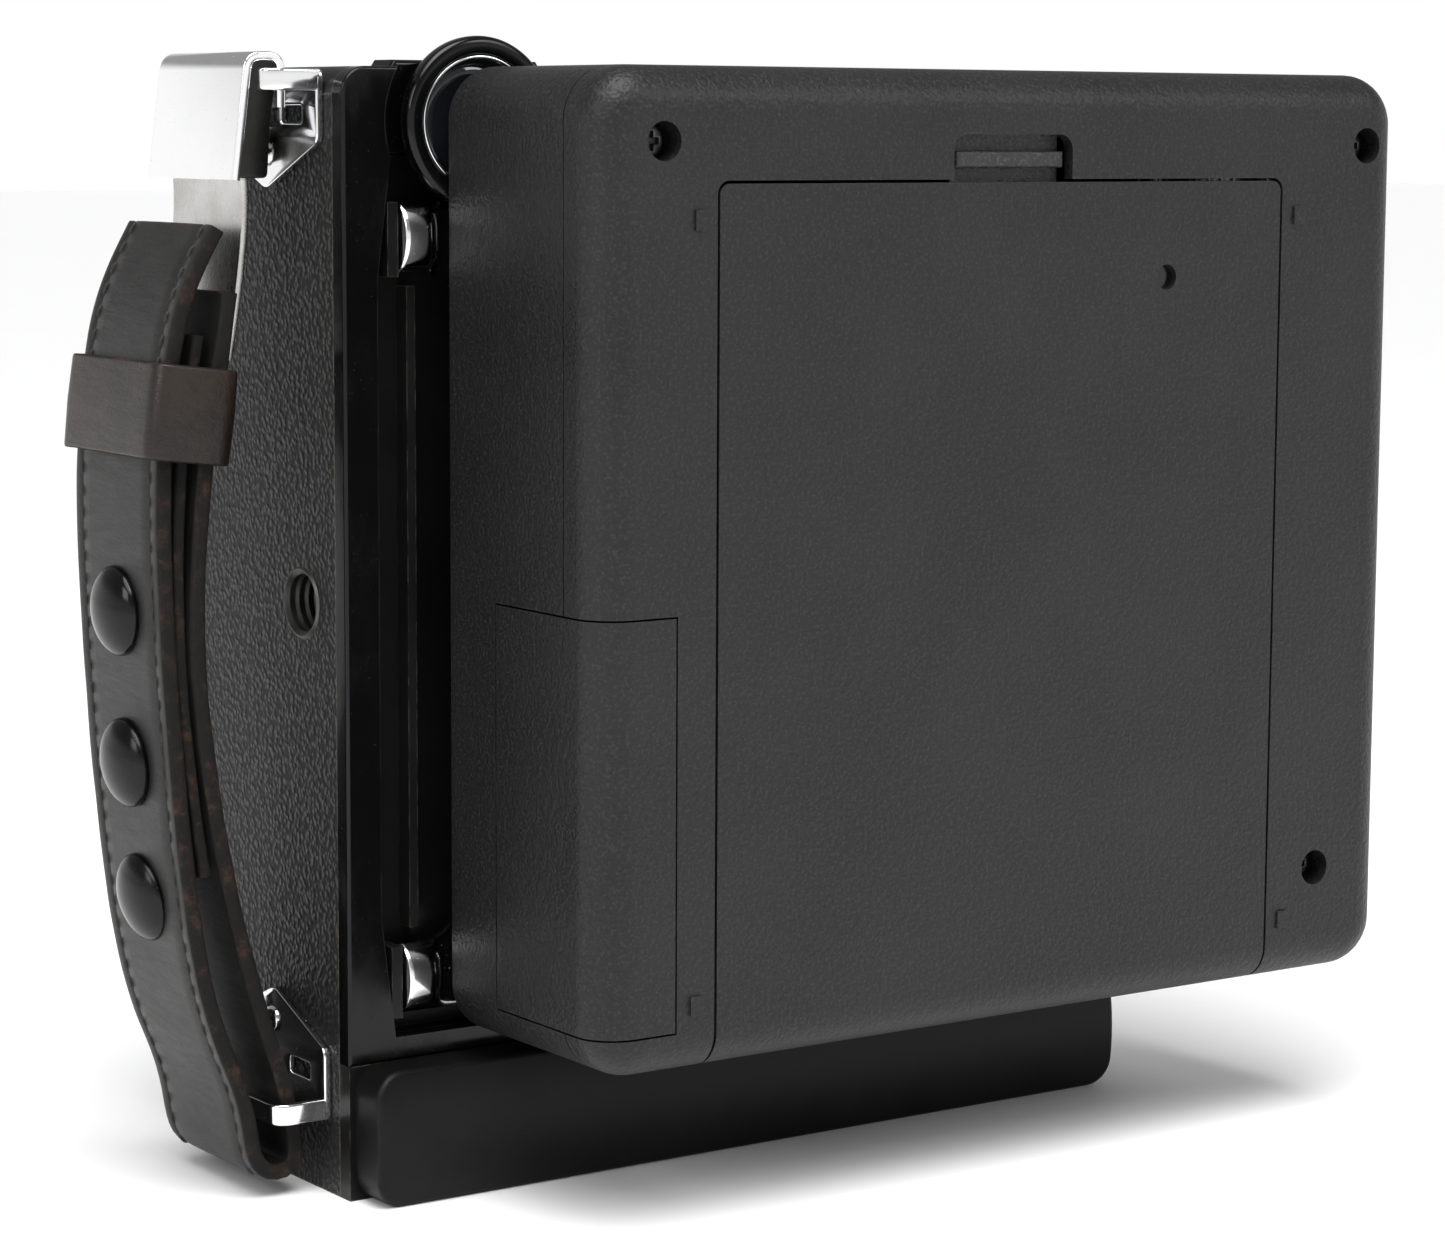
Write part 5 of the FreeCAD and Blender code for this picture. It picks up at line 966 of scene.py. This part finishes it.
def buttons():
    """The dished release button, the domed bed catch and the threaded tripod bushes."""
    low, high, centre = on_axis("release_button")
    dish = [(1.1*MM, low.y + 2.6*MM), (1.1*MM, low.y + 0.7*MM)] + [
        (r*MM, low.y + (0.55 - 0.55*(r/4.6)**2)*MM) for r in (1.3, 2.4, 3.5, 4.6)]
    rim = [(5.3*MM, low.y), (5.9*MM, low.y + 0.5*MM), (6*MM, low.y + 1.2*MM), (6*MM, high.y - 1.2*MM),
           (7.5*MM, high.y - 1.2*MM), (7.5*MM, high.y), (0, high.y), (0, low.y + 2.6*MM)]
    Form().turn(dish + rim, centre, Y, 72).make("release_button_dished", (bright_chrome,),
                                               "release_button", body="release_button", crease=40)
    low, high, centre = on_axis("bed_catch")
    radius = (high.x - low.x)/2
    Form().turn(dome(radius, low.y, 0.9*MM) + [(radius, high.y), (0, high.y)], centre, Y, 48).make(
        "bed_catch_domed", (bright_chrome,), "bed_catch", body="bed_catch", crease=40)
    bushes = Form()
    low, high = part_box("tripod_bushes")
    radius = -low.y
    side_mouth = Vector((high.x, high.y - radius, high.z - radius))
    outline = [(0, -BUSH_LONG), (radius, -BUSH_LONG), (radius, -0.3*MM), (radius - 0.3*MM, 0),
               (4.95*MM, 0)]
    for turn in range(6):
        depth = 0.2*MM + turn*THREAD_PITCH
        outline += [(THREAD_ROOT, -depth), (THREAD_CREST, -depth - 0.4*MM),
                    (THREAD_CREST, -depth - 0.6*MM), (THREAD_ROOT, -depth - 1.0*MM)]
    outline += [(4.3*MM, -9.9*MM), (0, -9.9*MM)]
    for mouth, axis in ((side_mouth, X), (Vector((low.x + radius, 0, 0)), -Z)):
        bushes.turn(outline, mouth, axis, 64)
    bushes.make("bushes_threaded", (dark_steel,), "tripod_bushes", crease=30)


def case_screw_heads():
    """The cross-recess screws at the bottom of the film back's wells."""
    form = Form()
    verts = [v.co.copy() for v in NODES["case_screws"].data.vertices]
    top, long_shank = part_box("case_screws")[1].y, size_of("case_screws").y
    heads = []
    for v in verts:
        if abs(v.y - top) < 0.02*MM and not any((v - h).length < 6*MM for h in heads):
            heads.append(v)
    for head in heads:
        near = [v for v in verts if (v - head).length < 6*MM and abs(v.y - top) < 0.02*MM]
        middle = sum(near, Vector())/len(near)
        arm, long = 0.42*MM, 1.35*MM
        cross = [(arm, arm), (long, arm), (long, -arm), (arm, -arm), (arm, -long), (-arm, -long),
                 (-arm, -arm), (-long, -arm), (-long, arm), (-arm, arm), (-arm, long), (arm, long)]
        form.plate([circle(2.15*MM), cross], 0.9*MM, 0.25*MM,
                   (middle.x, top - 0.45*MM, middle.z), X, -Z)
        form.turn([(0, -long_shank), (1.15*MM, MM - long_shank), (1.15*MM, -1.5*MM), (2.15*MM, -1.5*MM),
                   (2.15*MM, -0.85*MM), (0, -0.85*MM)], (middle.x, top, middle.z), Y, 32)
    form.make("case_screw_heads", (dark_steel,), "case_screws", crease=40)


strap()
strap_loop()
hook()
lugs()
slide_locks()
eyepiece()
lens_group()
bellows()
buttons()
case_screw_heads()


# ---------------------------------------------------------------- floor, lights and camera
def studio():
    """A pale floor, soft lights from above and behind the film back, and the camera."""
    mesh = bpy.data.meshes.new("floor")
    mesh.from_pydata([(-8, -8, 0), (8, -8, 0), (8, 8, 0), (-8, 8, 0)], [], [(0, 1, 2, 3)])
    floor = bpy.data.objects.new("floor", mesh)
    bpy.context.collection.objects.link(floor)
    paper = Finish("floor_paper", Specular_IOR_Level=0.2, Roughness=0.6)
    paper.set(Base_Color=paper.tint(paper.grain(0.3, 2.0), (0.96, 0.96, 0.96), (0.98, 0.98, 0.98)))
    mesh.materials.append(paper.material)
    scene = bpy.context.scene
    scene.world = bpy.data.worlds.new("studio")
    scene.world.use_nodes = True
    tree = scene.world.node_tree
    spot = tree.nodes.new("ShaderNodeTexCoord")
    split = tree.nodes.new("ShaderNodeSeparateXYZ")
    tree.links.new(spot.outputs["Generated"], split.inputs[0])
    fade = tree.nodes.new("ShaderNodeValToRGB")
    fade.color_ramp.interpolation = "EASE"
    for stop, (height, glow) in zip(fade.color_ramp.elements, ((0.10, 1.0), (0.34, 0.30))):
        stop.position, stop.color = height, (glow, glow, glow, 1)
    tree.links.new(split.outputs["Z"], fade.inputs["Fac"])
    tree.links.new(fade.outputs["Color"], tree.nodes["Background"].inputs["Color"])
    sun = bpy.data.lights.new("high_soft", "SUN")
    sun.angle, sun.energy = math.radians(50), 2.45
    holder = bpy.data.objects.new("high_soft", sun)
    holder.rotation_mode = "QUATERNION"
    holder.rotation_quaternion = Vector((-0.25, -0.35, -1)).to_track_quat("-Z", "Y")
    bpy.context.collection.objects.link(holder)
    scene.view_settings.view_transform = "Standard"
    for name, place, size, power in (
            ("top_soft", (0.1, 0.35, 0.95), 0.6, 4.5), ("side_soft", (0.95, 0.25, 0.6), 0.4, 2.6),
            ("back_soft", (-0.75, 1.0, 0.85), 0.5, 4.5)):
        lamp = bpy.data.lights.new(name, "AREA")
        lamp.size = size
        lamp.energy = power
        holder = bpy.data.objects.new(name, lamp)
        holder.location = place
        holder.rotation_mode = "QUATERNION"
        holder.rotation_quaternion = (Vector((0, 0.03, 0.09)) - Vector(place)).to_track_quat("-Z", "Y")
        bpy.context.collection.objects.link(holder)
    lens = bpy.data.cameras.new("view")
    lens.lens = 96.6
    lens.sensor_width = 36
    camera = bpy.data.objects.new("view", lens)
    camera.location = (0.3474, 0.5207, 0.1595)
    camera.rotation_mode = "QUATERNION"
    aim = Vector((-0.5655, -0.8147, -0.1282)).to_track_quat("-Z", "Y")
    camera.rotation_quaternion = aim @ Quaternion((0, 0, 1), 0.0048)
    bpy.context.collection.objects.link(camera)
    scene.camera = camera


studio()
